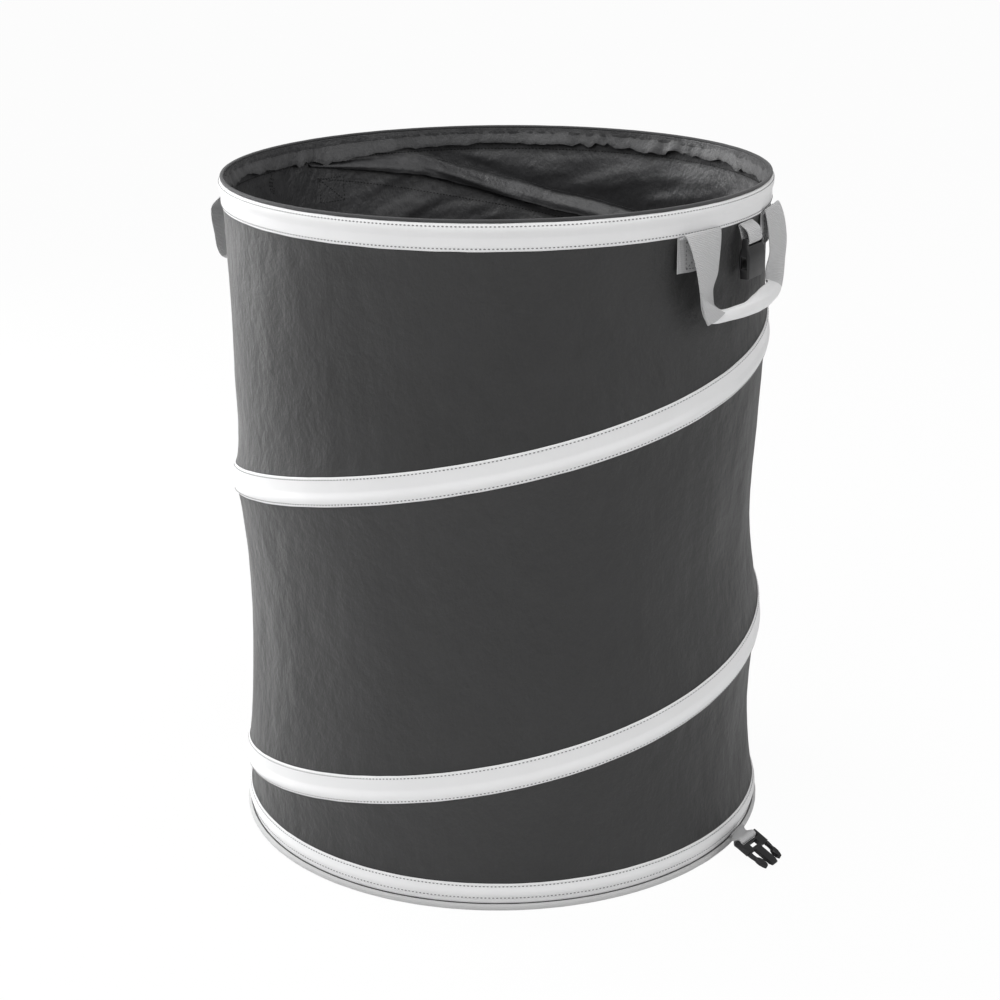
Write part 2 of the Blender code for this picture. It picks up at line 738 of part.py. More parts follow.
def plug_mesh():
    """The male half without its prongs: a frame with two slots and a guide tongue."""
    frame, tongue = PLUG_THICKNESS / 2, TONGUE_THICKNESS / 2
    sections = (
        (-PLUG_BACK, BUCKLE_WIDTH / 2, frame),
        (PLUG_FRAME, BUCKLE_WIDTH / 2, frame),
        (PLUG_FRAME + GAP, TONGUE_WIDTH / 2, tongue),
        (TONGUE_END - TONGUE_THICKNESS, TONGUE_WIDTH / 2, tongue),
        (TONGUE_END, TONGUE_WIDTH / 2 - TONGUE_THICKNESS / 4, tongue / 2),
    )
    loops = []
    for along, across, off in sections:
        corners = ((-across, -off), (across, -off), (across, off), (-across, off))
        loops.append([Vector((along, y, z)) for y, z in corners])
    half = OPEN_SLOT_WIDTH / 2
    open_slot = ((OPEN_SLOT[0], -half, -OVERRUN), (OPEN_SLOT[1], half, OVERRUN))
    return carve("plug", skin(loops), webbing_bar_cutters(PLUG_BACK) + [open_slot], EDGE)


def prong_mesh(side):
    """A springy prong with a rounded head, from its root on the frame. side is 1 or -1."""
    shape = bmesh.new()
    corners = []
    for along, out in PRONG_SHARES:
        across = side * (out * BUCKLE_WIDTH / 2 - PRONG_HINGE)
        corners.append(shape.verts.new((along * PRONG_LENGTH, across, -PRONG_THICKNESS / 2)))
    face = shape.faces.new(corners)
    grown = bmesh.ops.extrude_face_region(shape, geom=[face])
    top = [item for item in grown["geom"] if isinstance(item, bmesh.types.BMVert)]
    bmesh.ops.translate(shape, verts=top, vec=(0, 0, PRONG_THICKNESS))
    return carve("prong", shape, [], EDGE)


def station(side, turn, rim_carrier, meshes, paints):
    """One handle with its two pairs of buckle halves. turn is 0 for the right side and 180 for the left."""
    spin = Matrix.Rotation(math.radians(turn), 4, "Z")
    ends = (("front", -1), ("rear", 1)) if turn == 0 else (("rear", -1), ("front", 1))
    upper = pivot(f"{side}_rim_side", rim_carrier, rotation=spin.to_euler())
    lower = pivot(f"{side}_foot_side", rotation=spin.to_euler())
    for end, way in ends:
        name = f"{side}_handle_{end}_end"
        place(name, meshes["patch", way].copy(), paints["webbing"](name), upper)
    name = f"{side}_handle"
    place(name, meshes["handle"].copy(), paints["webbing"](name), upper, handle_axis())

    root, along, _, _ = upper_tab_frame()
    name = f"{side}_upper_tab"
    place(name, meshes["upper_tab"].copy(), paints["webbing"](name), upper, root)
    # the socket hangs straight down from its bar, with its back to the wall
    down = Matrix.Rotation(math.radians(UPPER_TAB_ANGLE), 3, "Z") @ Matrix.Rotation(math.radians(90), 3, "Y")
    name = f"{side}_socket_buckle"
    bar = root + along * UPPER_TAB_LENGTH
    place(name, meshes["socket"].copy(), paints["plastic"](name), upper, bar, down.to_euler())

    root, bar = lower_tab_frame()
    name = f"{side}_lower_tab"
    place(name, meshes["lower_tab"].copy(), paints["webbing"](name), lower, root)
    lie = Euler((0, math.radians(PLUG_PITCH), math.radians(PLUG_YAW)), "XYZ")
    carrier = pivot(f"{side}_plug_pivot", lower, bar, lie)
    name = f"{side}_plug_buckle"
    place(name, meshes["plug"].copy(), paints["plastic"](name), carrier)
    for end, way in ends:
        name = f"{side}_plug_{end}_prong"
        at = (PLUG_FRAME + GAP, way * PRONG_HINGE, 0)
        place(name, meshes["prong", way].copy(), paints["plastic"](name), carrier, at)


def main():
    for thing in list(bpy.data.objects):
        bpy.data.objects.remove(thing)
    paints = {
        "cloth": lambda name: paint(name, (0.050, 0.050, 0.052), 0.75),
        "lining": lambda name: paint(name, (0.030, 0.030, 0.032), 0.45),
        "piping": lambda name: paint(name, (0.035, 0.035, 0.037), 0.70),
        "tape": lambda name: paint(name, (0.800, 0.800, 0.800), 0.65),
        "grosgrain": lambda name: paint(name, (0.560, 0.560, 0.560), 0.80),
        "webbing": lambda name: paint(name, (0.620, 0.620, 0.620), 0.75),
        "steel": lambda name: paint(name, (0.450, 0.450, 0.460), 0.35, 1.0),
        "plastic": lambda name: paint(name, (0.015, 0.015, 0.016), 0.38),
    }
    wall_panel(paints["cloth"]("wall_panel"))
    spiral_band(paints["tape"]("spiral_band"))
    spiral_wire(paints["steel"]("spiral_wire"))
    foot(paints)
    carrier = rim(paints)
    meshes = {
        ("patch", -1): patch_mesh(-HANDLE_LEG_ANGLE),
        ("patch", 1): patch_mesh(HANDLE_LEG_ANGLE),
        "handle": handle_mesh(),
        "upper_tab": upper_tab_mesh(),
        "lower_tab": lower_tab_mesh(),
        "socket": socket_mesh(),
        "plug": plug_mesh(),
        ("prong", -1): prong_mesh(-1),
        ("prong", 1): prong_mesh(1),
    }
    station("right", 0, carrier, meshes, paints)
    station("left", 180, carrier, meshes, paints)


main()
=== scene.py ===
"""Pop up leaf bag: cloth, tapes, webbing and buckles, dressed on the bag's fixed frame.

Metres, +Z up, the floor at zero. Angles are counted in degrees from the right handle, which is on +X.
"""

from math import ceil, cos, degrees, exp, floor, hypot, pi, radians, sin, sqrt

import bmesh
import bpy
import numpy as np
from bpy.props import FloatProperty, FloatVectorProperty, IntProperty, PointerProperty
from mathutils import Matrix, Vector, noise


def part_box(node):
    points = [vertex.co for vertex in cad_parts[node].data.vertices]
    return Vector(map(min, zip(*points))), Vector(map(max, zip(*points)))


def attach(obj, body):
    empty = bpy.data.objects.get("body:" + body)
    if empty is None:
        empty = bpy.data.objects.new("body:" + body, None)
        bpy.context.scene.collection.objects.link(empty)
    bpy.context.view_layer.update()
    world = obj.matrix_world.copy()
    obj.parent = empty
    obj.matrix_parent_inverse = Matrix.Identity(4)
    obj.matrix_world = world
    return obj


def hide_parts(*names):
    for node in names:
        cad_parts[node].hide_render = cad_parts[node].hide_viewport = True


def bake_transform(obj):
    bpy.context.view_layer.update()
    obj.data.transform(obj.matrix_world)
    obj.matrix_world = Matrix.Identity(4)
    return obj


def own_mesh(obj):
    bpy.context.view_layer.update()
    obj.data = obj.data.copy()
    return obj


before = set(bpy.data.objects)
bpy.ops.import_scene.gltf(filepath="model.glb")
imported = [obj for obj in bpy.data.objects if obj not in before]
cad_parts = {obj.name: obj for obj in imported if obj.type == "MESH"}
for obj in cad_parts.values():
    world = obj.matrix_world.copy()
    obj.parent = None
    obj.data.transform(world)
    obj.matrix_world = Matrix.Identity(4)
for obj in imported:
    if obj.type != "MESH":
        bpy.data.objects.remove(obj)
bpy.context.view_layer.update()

bl_info = {
    "name": "Pop Up Leaf Bag",
    "version": (1, 0, 0),
    "blender": (4, 5, 0),
    "location": "3D View > Sidebar > Leaf Bag",
    "description": "Dresses a pop up leaf bag in cloth, tape and webbing",
    "category": "Object",
}


def low(node, axis):
    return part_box(node)[0][axis]


def high(node, axis):
    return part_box(node)[1][axis]


X, Z = 0, 2
GAP = 0.0003
RADIUS = high("rim_piping", X)
HEIGHT = high("rim_piping", Z)
RIM_LOW, RIM_HIGH = low("rim_band", Z), high("rim_band", Z)
BASE_LOW, BASE_HIGH = low("base_band", Z), high("base_band", Z)
WALL_LOW, WALL_HIGH = low("wall_panel", Z), high("wall_panel", Z)
BINDING_HIGH = high("base_binding", Z)
BINDING_OUT = high("base_binding", X)
BINDING_WIDE = 0.0075
TAPE = 0.0012
CLOTH = 0.0008
WIRE = 0.003
RIDGE = WIRE / 2 + GAP
RIDGE_REACH, CHANNEL_REACH = 0.0068, 0.0062  # half the width of the ridge over a wire, and of the channel behind it
TAPE_BACK = RADIUS - TAPE
WALL_OUT = TAPE_BACK - GAP
RIM_WIRE = HEIGHT - 0.0085
BASE_WIRE = BASE_LOW + 0.0068
WIRE_RADIUS = (TAPE_BACK + WALL_OUT) / 2
HEM = 0.0024  # from a tape's edge to its line of stitches
WALL_ROWS, FOOT_ROWS = 200, 9

# the spiral
COIL = 0.027
COIL_WIRE = 0.0065
COIL_FROM, COIL_TO = -204.0, 516.0
COIL_LEAN, COIL_LEAN_ANGLE = 0.006, -57.5
COIL_LIFT, COIL_LIFT_FROM, COIL_LIFT_TO = 0.0367, 465.0, 510.0
SAG, SAG_REACH = 0.007, 0.25
# The strip inside the last half turn lies lower than the tape outside: its lip and its seam, by angle.
LIP = ((440, 0.5165), (461, 0.5320), (475, 0.5446), (489, 0.5610), (500, 0.5750), (515, 0.5850), (531, 0.5955))
SEAM = ((440, 0.5097), (461, 0.5242), (475, 0.5350), (487, 0.5453), (498, 0.5558), (511, 0.5681), (531, 0.5842))
POCKET_FROM, POCKET_DROP = COIL_FROM + 60, 0.019
ARCS_ANGLE, ARCS_HEIGHT, ARCS = 183.0, 0.5865, (0.0050, 0.0072, 0.0094)  # stitches round the strip's end

# Handles. Outer edge's angle and drop, inner edge's angle and drop, how far the webbing has left the wall's
# curve for the handle's own plane, that plane's stand-off and the thickness, as shares.
LEFT_TURN = 180.0
LEG_ANGLE = 15.3
LEG_HALF = 0.024  # half the webbing's width
HANDLE_DROP, HANDLE_OUT = 0.077, 0.0165
WEBBING = 0.0014
HANDLE_SHARES = (
    (1.360, 0.000, 0.640, 0.000, 0.00, 0.50, 1.0),
    (1.360, -0.004, 0.640, -0.004, 0.14, 0.50, 1.0),
    (1.360, -0.045, 0.640, -0.045, 0.30, 0.50, 1.0),
    (1.360, 0.045, 0.660, 0.045, 0.50, 0.50, 1.0),
    (1.345, 0.190, 0.700, 0.190, 0.72, 0.46, 1.0),
    (1.310, 0.400, 0.750, 0.390, 0.94, 0.41, 1.0),
    (1.250, 0.610, 0.785, 0.570, 1.00, 0.40, 1.0),
    (1.210, 0.790, 0.765, 0.700, 1.00, 0.42, 1.6),
    (1.110, 0.930, 0.735, 0.770, 1.00, 0.47, 2.4),
    (0.930, 0.982, 0.690, 0.775, 1.00, 0.58, 2.8),
    (0.660, 0.992, 0.580, 0.765, 1.00, 0.74, 2.6),
    (0.340, 0.998, 0.320, 0.755, 1.00, 0.92, 2.6),
    (0.000, 1.000, 0.000, 0.750, 1.00, 1.00, 2.6),
)
ROW_STEPS = 6
LEG_ROWS = 5  # the table's row down to which a leg bends when the handle is lifted
GRIP_ROWS = 8  # the row where the smooth grip comes out of the folded corner
GRIP_DROP = 0.085  # how much lower the grip's upper edge lies at its front
CORNER_DIP = 0.004  # how far a leg dips behind its folded corner
LEFT_FLARE = 0.016  # how far the left handle's front leg stands off its plane
LEFT_BOX_DROP = 0.0105  # how much lower the left handle's stitched boxes lie inside the bag
# the folded corner's two edges, each four corners of a curve, as shares of the leg's angle and of the drop
FLAP_EDGES = (
    ((1.262, 0.59), (1.225, 0.76), (1.175, 0.90), (1.095, 0.975)),
    ((1.240, 0.60), (1.105, 0.75), (0.930, 0.82), (0.760, 0.88)),
)

# webbing loops of the buckles
TAB = 0.025
BAR = 0.003
UPPER_ANGLE, UPPER_LENGTH, UPPER_LEAN, UPPER_BULGE = 0.8, 0.014, 27.0, 0.0022
LOWER_ANGLE, LOWER_BULGE = 3.9, 0.0008
PLUG_OUT, PLUG_ASIDE, PLUG_UP, PLUG_YAW = 0.0238, -0.0247, 0.0178, -6.0
PLUG_SQUARE = 0.004

# stage
CAMERA_AWAY, CAMERA_HEIGHT, CAMERA_ASIDE = 1.8895, 0.9445, 0.0006
CAMERA_AZIMUTH, CAMERA_PITCH, CAMERA_ROLL = 32.5, 18.80, -0.545
SENSOR, LENS = 36.0, 2.080  # millimetres, and the focal length in widths of the sensor
FLOOR_REACH, FLOOR_HEIGHT, FLOOR_WHITE = 12.0, -0.0002, 0.90
FLOOR_GLOW = 0.96  # share of plain white in what the camera sees of the floor
WORLD_LIGHT = 0.38


def size_field(name, words, value, least=0.0):
    return FloatProperty(name=name, description=words, default=value, min=least, unit="LENGTH")


def colour_field(name, words, grey, blue):
    """A grey with its own blue."""
    value = (grey, grey, blue)
    return FloatVectorProperty(name=name, description=words, default=value, subtype="COLOR", min=0, max=1)


class BagSizes(bpy.types.PropertyGroup):
    """Sizes of the cloth work."""

    fold_depth: size_field("Fold depth", "Depth of the wall's soft folds", 0.0030)
    crinkle: size_field("Crinkle", "Depth of the crinkles beside seams", 0.0005)
    stitch: size_field("Stitch", "Length of one stitch", 0.0021, 0.001)
    stitch_gap: size_field("Stitch gap", "Gap between two stitches", 0.0014)
    thread: size_field("Thread", "Diameter of the thread", 0.0009, 0.0002)
    rib: size_field("Rib", "Spacing of the webbing's ribs", 0.0014, 0.0005)
    facing_drop: size_field("Facing", "How far the rim facing hangs down", 0.0150, 0.01)
    turn_steps: IntProperty(name="Steps", description="Columns of cloth in one turn", default=360, min=60, max=720)


class BagColours(bpy.types.PropertyGroup):
    """Colours of the cloths, threads and plastics."""

    wall: colour_field("Wall", "Coated cloth of the wall", 0.0185, 0.0190)
    lining: colour_field("Lining", "Inner side of the cloth", 0.044, 0.046)
    # painted light: the facing is the bag's own dark cloth, coloured lighter than the lining for the light it catches
    # under the rim
    facing: colour_field("Facing", "Loose strip under the rim", 0.054, 0.056)
    piping: colour_field("Piping", "Binding on the rim", 0.050, 0.052)
    tape: colour_field("Tape", "Light bands", 0.880, 0.885)
    grosgrain: colour_field("Grosgrain", "Ribbed binding of the foot", 0.800, 0.805)
    webbing: colour_field("Webbing", "Handles and loops", 0.560, 0.565)
    plastic: colour_field("Plastic", "Buckles", 0.010, 0.011)
    # painted shade: the light thread is coloured grey to stand in for the shade in its stitch holes
    thread: colour_field("Thread", "Light thread", 0.200, 0.203)
    dark_thread: colour_field("Dark thread", "Thread inside the bag", 0.004, 0.004)
    wire: colour_field("Wire", "Spring wire", 0.480, 0.490)


def sizes():
    return bpy.context.scene.leaf_bag_sizes


def around_steps():
    """The angles of the columns of one turn."""
    count = sizes().turn_steps
    return [i * 360 / count for i in range(count)]


def shares(count):
    return np.linspace(0, 1, count)


def cosine(angle):
    return cos(radians(angle))


def polar(radius, angle, height=0.0):
    turned = radians(angle)
    return Vector((radius * cos(turned), radius * sin(turned), height))


def smooth(share):
    share = min(1.0, max(0.0, share))
    return share * share * (3 - 2 * share)


def drift(a, b, seed):
    """Smooth noise between -1 and 1."""
    return noise.noise(Vector((a, b, seed)))


def ripple(spot, scale, *shift):
    """The same noise at a place, in ripples per metre."""
    return noise.noise(spot * scale + Vector(shift))


# Materials


class Nodes:
    """A node tree that is built node by node."""

    def __init__(self, tree):
        self.tree = tree

    def add(self, kind, **values):
        node = self.tree.nodes.new(kind)
        for key, value in values.items():
            if hasattr(node, key):
                setattr(node, key, value)
            else:
                node.inputs[key.replace("_", " ").title()].default_value = value
        return node

    def join(self, start, end):
        self.tree.links.new(start, end)

    def math(self, operation, first, second):
        node = self.add("ShaderNodeMath", operation=operation)
        for socket, value in zip(node.inputs, (first, second)):
            if isinstance(value, (int, float)):
                socket.default_value = value
            else:
                self.join(value, socket)
        return node.outputs[0]

    def mixed(self, share, first, second):
        """Two shaders mixed."""
        node = self.add("ShaderNodeMixShader")
        for socket, value in zip(node.inputs, (share, first, second)):
            self.join(value, socket)
        return node.outputs[0]


class Paint(Nodes):
    """A material whose colour, gloss and relief are added to a plain shader."""

    def __init__(self, name, colour, roughness, metallic=0.0):
        self.material = bpy.data.materials.new(name)
        self.material.use_nodes = True
        super().__init__(self.material.node_tree)
        self.shader = self.tree.nodes["Principled BSDF"]
        self.set(Roughness=roughness, Metallic=metallic, Base_Color=(*colour, 1))
        self.material.diffuse_color = (*colour, 1)
        self.colour = colour

    def set(self, **values):
        for key, value in values.items():
            self.shader.inputs[key.replace("_", " ")].default_value = value

    def cloud(self, scale, detail, roughness=0.5, stretch=(1, 1, 1)):
        """Noise fixed to the object, in clouds per metre."""
        place = self.add("ShaderNodeTexCoord")
        mapping = self.add("ShaderNodeMapping", scale=stretch)
        texture = self.add("ShaderNodeTexNoise", scale=scale, detail=detail, roughness=roughness)
        self.join(place.outputs["Object"], mapping.inputs["Vector"])
        self.join(mapping.outputs["Vector"], texture.inputs["Vector"])
        return texture.outputs["Fac"]

    def ribs(self, spacing, along=True, distortion=0.0):
        """Ribs across the cloth's length, or along it, read from its metre grid."""
        place = self.add("ShaderNodeUVMap", uv_map="cloth")
        texture = self.add("ShaderNodeTexWave", wave_type="BANDS", scale=pi / 10 / spacing, distortion=distortion)
        texture.bands_direction = "X" if along else "Y"
        self.join(place.outputs["UV"], texture.inputs["Vector"])
        return texture.outputs["Fac"]

    def weave(self, spacing):
        return self.math("MULTIPLY", self.ribs(spacing), self.ribs(spacing, along=False))

    def mean(self, first, share, second):
        """Two values mixed, with the first one's share."""
        return self.math("ADD", self.math("MULTIPLY", first, share), self.math("MULTIPLY", second, 1 - share))

    def tint(self, value, dark, light):
        """Colour the surface between two multiples of its own colour."""
        node = self.add("ShaderNodeMix", data_type="RGBA")
        shades = {"A": dark, "B": light}
        for socket in node.inputs:
            if socket.type == "RGBA":
                socket.default_value = (*[min(1, c * shades[socket.name]) for c in self.colour], 1)
        self.join(value, node.inputs["Factor"])
        self.join([s for s in node.outputs if s.type == "RGBA"][0], self.shader.inputs["Base Color"])

    def gloss(self, value, start, end):
        """Let the roughness go from start to end with a value."""
        node = self.add("ShaderNodeMapRange", to_min=start, to_max=end)
        self.join(value, node.inputs["Value"])
        self.join(node.outputs["Result"], self.shader.inputs["Roughness"])

    def relief(self, value, depth, strength):
        """Raise the surface by a value, on top of any relief it has."""
        node = self.add("ShaderNodeBump", strength=strength, distance=depth)
        self.join(value, node.inputs["Height"])
        before = self.shader.inputs["Normal"].links
        if before:
            self.join(before[0].from_socket, node.inputs["Normal"])
        self.join(node.outputs["Normal"], self.shader.inputs["Normal"])


def coated_cloth(name, colour, gloss):
    """Plain woven cloth with a coating: fine weave, soft mottling, long creases and a faint sheen."""
    paint = Paint(name, colour, gloss)
    mottle = paint.cloud(11, 6, 0.65)
    paint.tint(paint.mean(mottle, 0.7, paint.cloud(420, 3, 0.7)), 0.10, 1.95)
    paint.gloss(mottle, gloss - 0.16, gloss + 0.16)
    paint.relief(paint.cloud(24, 6, 0.62, (1, 1, 0.75)), 0.008, 0.60)
    paint.relief(paint.cloud(130, 3, 0.6), 0.0007, 0.5)
    paint.relief(paint.weave(0.0011), 0.0002, 0.45)
    paint.set(Specular_IOR_Level=0.60, Sheen_Weight=0.13, Sheen_Roughness=0.4)


def smooth_tape(name, colour):
    paint = Paint(name, colour, 0.6)
    soft = paint.cloud(14, 3, 0.5)
    paint.tint(soft, 0.93, 1.03)
    paint.gloss(soft, 0.5, 0.68)
    paint.relief(paint.cloud(60, 3, 0.5, (1, 1, 0.35)), 0.0012, 0.3)
    paint.relief(paint.weave(0.0009), 0.00012, 0.35)


def ribbed_cloth(name, colour, rib, depth=0.0005, shade=0.80):
    """Webbing or grosgrain: ribs across its length, split by the yarns that run along it."""
    paint = Paint(name, colour, 0.78)
    weave = paint.mean(paint.ribs(rib, distortion=0.4), 0.75, paint.ribs(rib * 1.3, along=False, distortion=0.6))
    fuzz = paint.cloud(1500, 3, 0.7)
    # painted shade: the grooves between the ribs are coloured darker than the ribs, mixed with random tone from the
    # fuzz
    paint.tint(paint.mean(weave, 0.7, fuzz), shade, 1.16)
    paint.gloss(fuzz, 0.70, 0.88)
    paint.relief(weave, depth, 0.8)
    paint.relief(fuzz, 0.0002, 0.5)
    paint.set(Sheen_Weight=0.15)


def moulded_plastic(name, colour):
    paint = Paint(name, colour, 0.34)
    grain = paint.cloud(900, 2, 0.6)
    paint.tint(paint.cloud(60, 2), 0.85, 1.35)
    paint.gloss(paint.cloud(120, 3), 0.26, 0.44)
    paint.relief(grain, 0.00006, 0.5)


def drawn_wire(name, colour):
    paint = Paint(name, colour, 0.35, 1.0)
    streak = paint.cloud(400, 2, 0.5, (1, 1, 6))
    paint.tint(streak, 0.8, 1.1)
    paint.gloss(streak, 0.28, 0.46)
    paint.relief(streak, 0.00005, 0.5)


def twisted_thread(name, colour):
    paint = Paint(name, colour, 0.7)
    twist = paint.cloud(2200, 2, 0.6)
    paint.tint(twist, 0.75, 1.15)
    paint.relief(twist, 0.0001, 0.6)


def finish(name):
    """The material of that name, made from the bag's colours when it is first asked for."""
    if name not in bpy.data.materials:
        colours, rib = bpy.context.scene.leaf_bag_colours, sizes().rib
        maker, colour, *values = {
            "wall cloth": (coated_cloth, colours.wall, 0.56),
            "lining cloth": (coated_cloth, colours.lining, 0.42),
            # painted light: a lighter copy of the lining's cloth, for the light falling on the facing
            "facing cloth": (coated_cloth, colours.facing, 0.46),
            "rim piping": (ribbed_cloth, colours.piping, rib * 0.7, 0.0002, 0.9),
            "light tape": (smooth_tape, colours.tape),
            "grosgrain": (ribbed_cloth, colours.grosgrain, rib, 0.0004),
            "webbing": (ribbed_cloth, colours.webbing, rib),
            "buckle plastic": (moulded_plastic, colours.plastic),
            # painted shade: the outer stitches' thread is greyed for the shade in the stitch holes
            "light thread": (twisted_thread, colours.thread),
            "dark thread": (twisted_thread, colours.dark_thread),
            "spring wire": (drawn_wire, colours.wire),
        }[name]
        maker(name, colour, *values)
    return bpy.data.materials[name]


# Meshes


def closed(pairs):
    """A closed section from (front, back) pairs of points: along the front and home along the back."""
    front, back = zip(*pairs)
    return [*front, *back[::-1]]


def loft(name, loops, *materials, around=False, back_from=None):
    """A closed skin through loops of points, with a grid in metres for its weave.

    around joins the last loop to the first. Points from back_from on take the second material.
    """
    points = np.array([[tuple(point) for point in loop] for loop in loops])
    rows, count = points.shape[:2]
    spans = rows if around else rows - 1
    following = np.roll(points, -1, axis=0)
    lengths = np.linalg.norm(following - points, axis=2).mean(axis=1)
    widths = np.linalg.norm(np.roll(points, -1, axis=1) - points, axis=2).mean(axis=0)
    along = np.concatenate([[0], np.cumsum(lengths)])
    across = np.concatenate([[0], np.cumsum(widths)])
    centre = points.reshape(-1, 3).mean(axis=0)
    here, ahead = points - centre, following - centre
    beside, across_ahead = np.roll(here, -1, axis=1), np.roll(ahead, -1, axis=1)
    volume = (here * (np.cross(beside, across_ahead) + np.cross(across_ahead, ahead))).sum(axis=2)
    outward = volume[:spans].sum() > 0
    faces, grid, slots = [], [], []
    for i in range(spans):
        a, b = i * count, (i + 1) % rows * count
        for j in range(count):
            k = (j + 1) % count
            face = [a + j, a + k, b + k, b + j]
            spot = [(along[u], across[v]) for u, v in ((i, j), (i, j + 1), (i + 1, j + 1), (i + 1, j))]
            faces.append(face if outward else face[::-1])
            grid += spot if outward else spot[::-1]
            slots.append(1 if back_from is not None and j >= back_from else 0)
    if not around:
        for start, flip in ((0, outward), ((rows - 1) * count, not outward)):
            for j in range(count // 2 - 1):
                face = [start + j, start + j + 1, start + count - j - 2, start + count - j - 1]
                faces.append(face[::-1] if flip else face)
                grid += [(0, 0)] * 4
                slots.append(0)
    mesh = bpy.data.meshes.new(name)
    mesh.from_pydata(points.reshape(-1, 3).tolist(), [], faces)
    layer = mesh.uv_layers.new(name="cloth")
    layer.data.foreach_set("uv", np.array(grid, dtype=np.float32).ravel())
    mesh.polygons.foreach_set("material_index", slots)
    mesh.update()
    return put(name, mesh, *materials)


def put(name, mesh, *materials, crisp=50):
    """Link a mesh with its materials, by name. Edges sharper than crisp, in degrees, stay sharp."""
    mesh.shade_smooth()
    mesh.set_sharp_from_angle(angle=radians(crisp))
    for material in materials:
        mesh.materials.append(finish(material))
    thing = bpy.data.objects.new(name, mesh)
    bpy.context.collection.objects.link(thing)
    return thing


def dressed(thing, body, slot, *nodes):
    """A piece that rides on a body and stands for its plain nodes."""
    if nodes:
        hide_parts(*nodes)
    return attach(thing, body)


def flattened(thing):
    """Give a piece its own copy of its mesh."""
    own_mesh(thing)


def fold_with_wall(thing):
    flattened(thing)


def fold_below_rim(thing):
    """For a piece that moves with the rim but is sewn on the wall: it gets its own copy of its mesh."""
    flattened(thing)


def stitching(name, lines, thread, body, slot):
    """Stitches along lines of (point, outward) pairs, each an eight sided grain of thread."""
    vertices, faces = [], []
    half, thick = sizes().stitch / 2, sizes().thread / 2
    pitch = sizes().stitch + sizes().stitch_gap
    for line in lines:
        points, outs = (np.array([tuple(each) for each in row]) for row in zip(*line))
        steps = np.linalg.norm(np.diff(points, axis=0), axis=1)
        run = np.concatenate([[0], np.cumsum(steps)])

        def along(place, rows):
            return np.array([np.interp(place, run, rows[:, k]) for k in range(3)])

        for place in np.arange(half, run[-1] - half, pitch):
            middle = along(place, points)
            way = along(place + half, points) - along(place - half, points)
            way = way / np.linalg.norm(way)
            side = np.cross(along(place, outs), way)
            side = side / np.linalg.norm(side)
            out = np.cross(way, side)
            base = len(vertices)
            vertices += [middle - way * half, middle + way * half]
            for share in (-0.55, 0.55):
                ring = middle + way * half * share
                vertices += [ring + side * thick, ring + out * thick, ring - side * thick, ring - out * thick * 0.4]
            for j in range(4):
                k = (j + 1) % 4
                faces.append((base, base + 2 + k, base + 2 + j))
                faces.append((base + 2 + j, base + 2 + k, base + 6 + k, base + 6 + j))
                faces.append((base + 1, base + 6 + j, base + 6 + k))
    mesh = bpy.data.meshes.new(name)
    mesh.from_pydata([tuple(v) for v in vertices], [], faces)
    mesh.update()
    return dressed(put(name, mesh, thread, crisp=80), body, slot)


# The spiral and the wall between its turns


def coil_height(angle):
    """Height of the middle of the spiral's tape."""
    start = BASE_HIGH - COIL / 2
    end = RIM_LOW + COIL / 2
    leans = [COIL_LEAN * sin(radians(a - COIL_LEAN_ANGLE)) for a in (COIL_FROM, COIL_TO, angle)]
    climb = end - start - COIL_LIFT - leans[1] + leans[0]
    lift = COIL_LIFT * smooth((angle - COIL_LIFT_FROM) / (COIL_LIFT_TO - COIL_LIFT_FROM))
    return start + climb * (angle - COIL_FROM) / (COIL_TO - COIL_FROM) + leans[2] - leans[0] + lift


def coil_low(angle):
    return max(coil_height(angle) - COIL / 2, BASE_HIGH + GAP)


def coil_high(angle):
    return min(coil_height(angle) + COIL / 2, RIM_LOW - GAP)


def coil_wire(angle):
    """The wire's height and how fully it bulges, which fades out at the bands, or None where it has ended."""
    line = coil_height(angle) - COIL_WIRE
    room = min(line - BASE_HIGH, RIM_LOW - line)
    return (line, min(1.0, room / WIRE)) if room > 0 else None


def coil_passes(angle):
    """The spiral's angles, counted through all its turns, that lie at an angle of the bag."""
    first = ceil((COIL_FROM - angle) / 360)
    last = floor((COIL_TO - angle) / 360)
    return [angle + 360 * turn for turn in range(first, last + 1)]


def free_stretch(angle, height):
    """The bands below and above a place on the wall, or None if a band covers it."""
    below, above = BASE_HIGH, RIM_LOW
    if height <= below or height >= above:
        return None
    for turn in coil_passes(angle):
        middle = coil_height(turn)
        if abs(height - middle) < COIL / 2:
            return None
        if middle < height:
            below = max(below, middle + COIL / 2)
        else:
            above = min(above, middle - COIL / 2)
    return below, above


def channel(angle, height):
    """How far the wall dips behind a wire."""
    deepest = 0.0
    for wire in ((BASE_WIRE, 1.0), *map(coil_wire, coil_passes(angle))):
        away = abs(height - wire[0]) / CHANNEL_REACH if wire else 1
        if away < 1:
            deepest = max(deepest, RIDGE * wire[1] * min(1.0, 1.35 * (1 - away)))
    return deepest


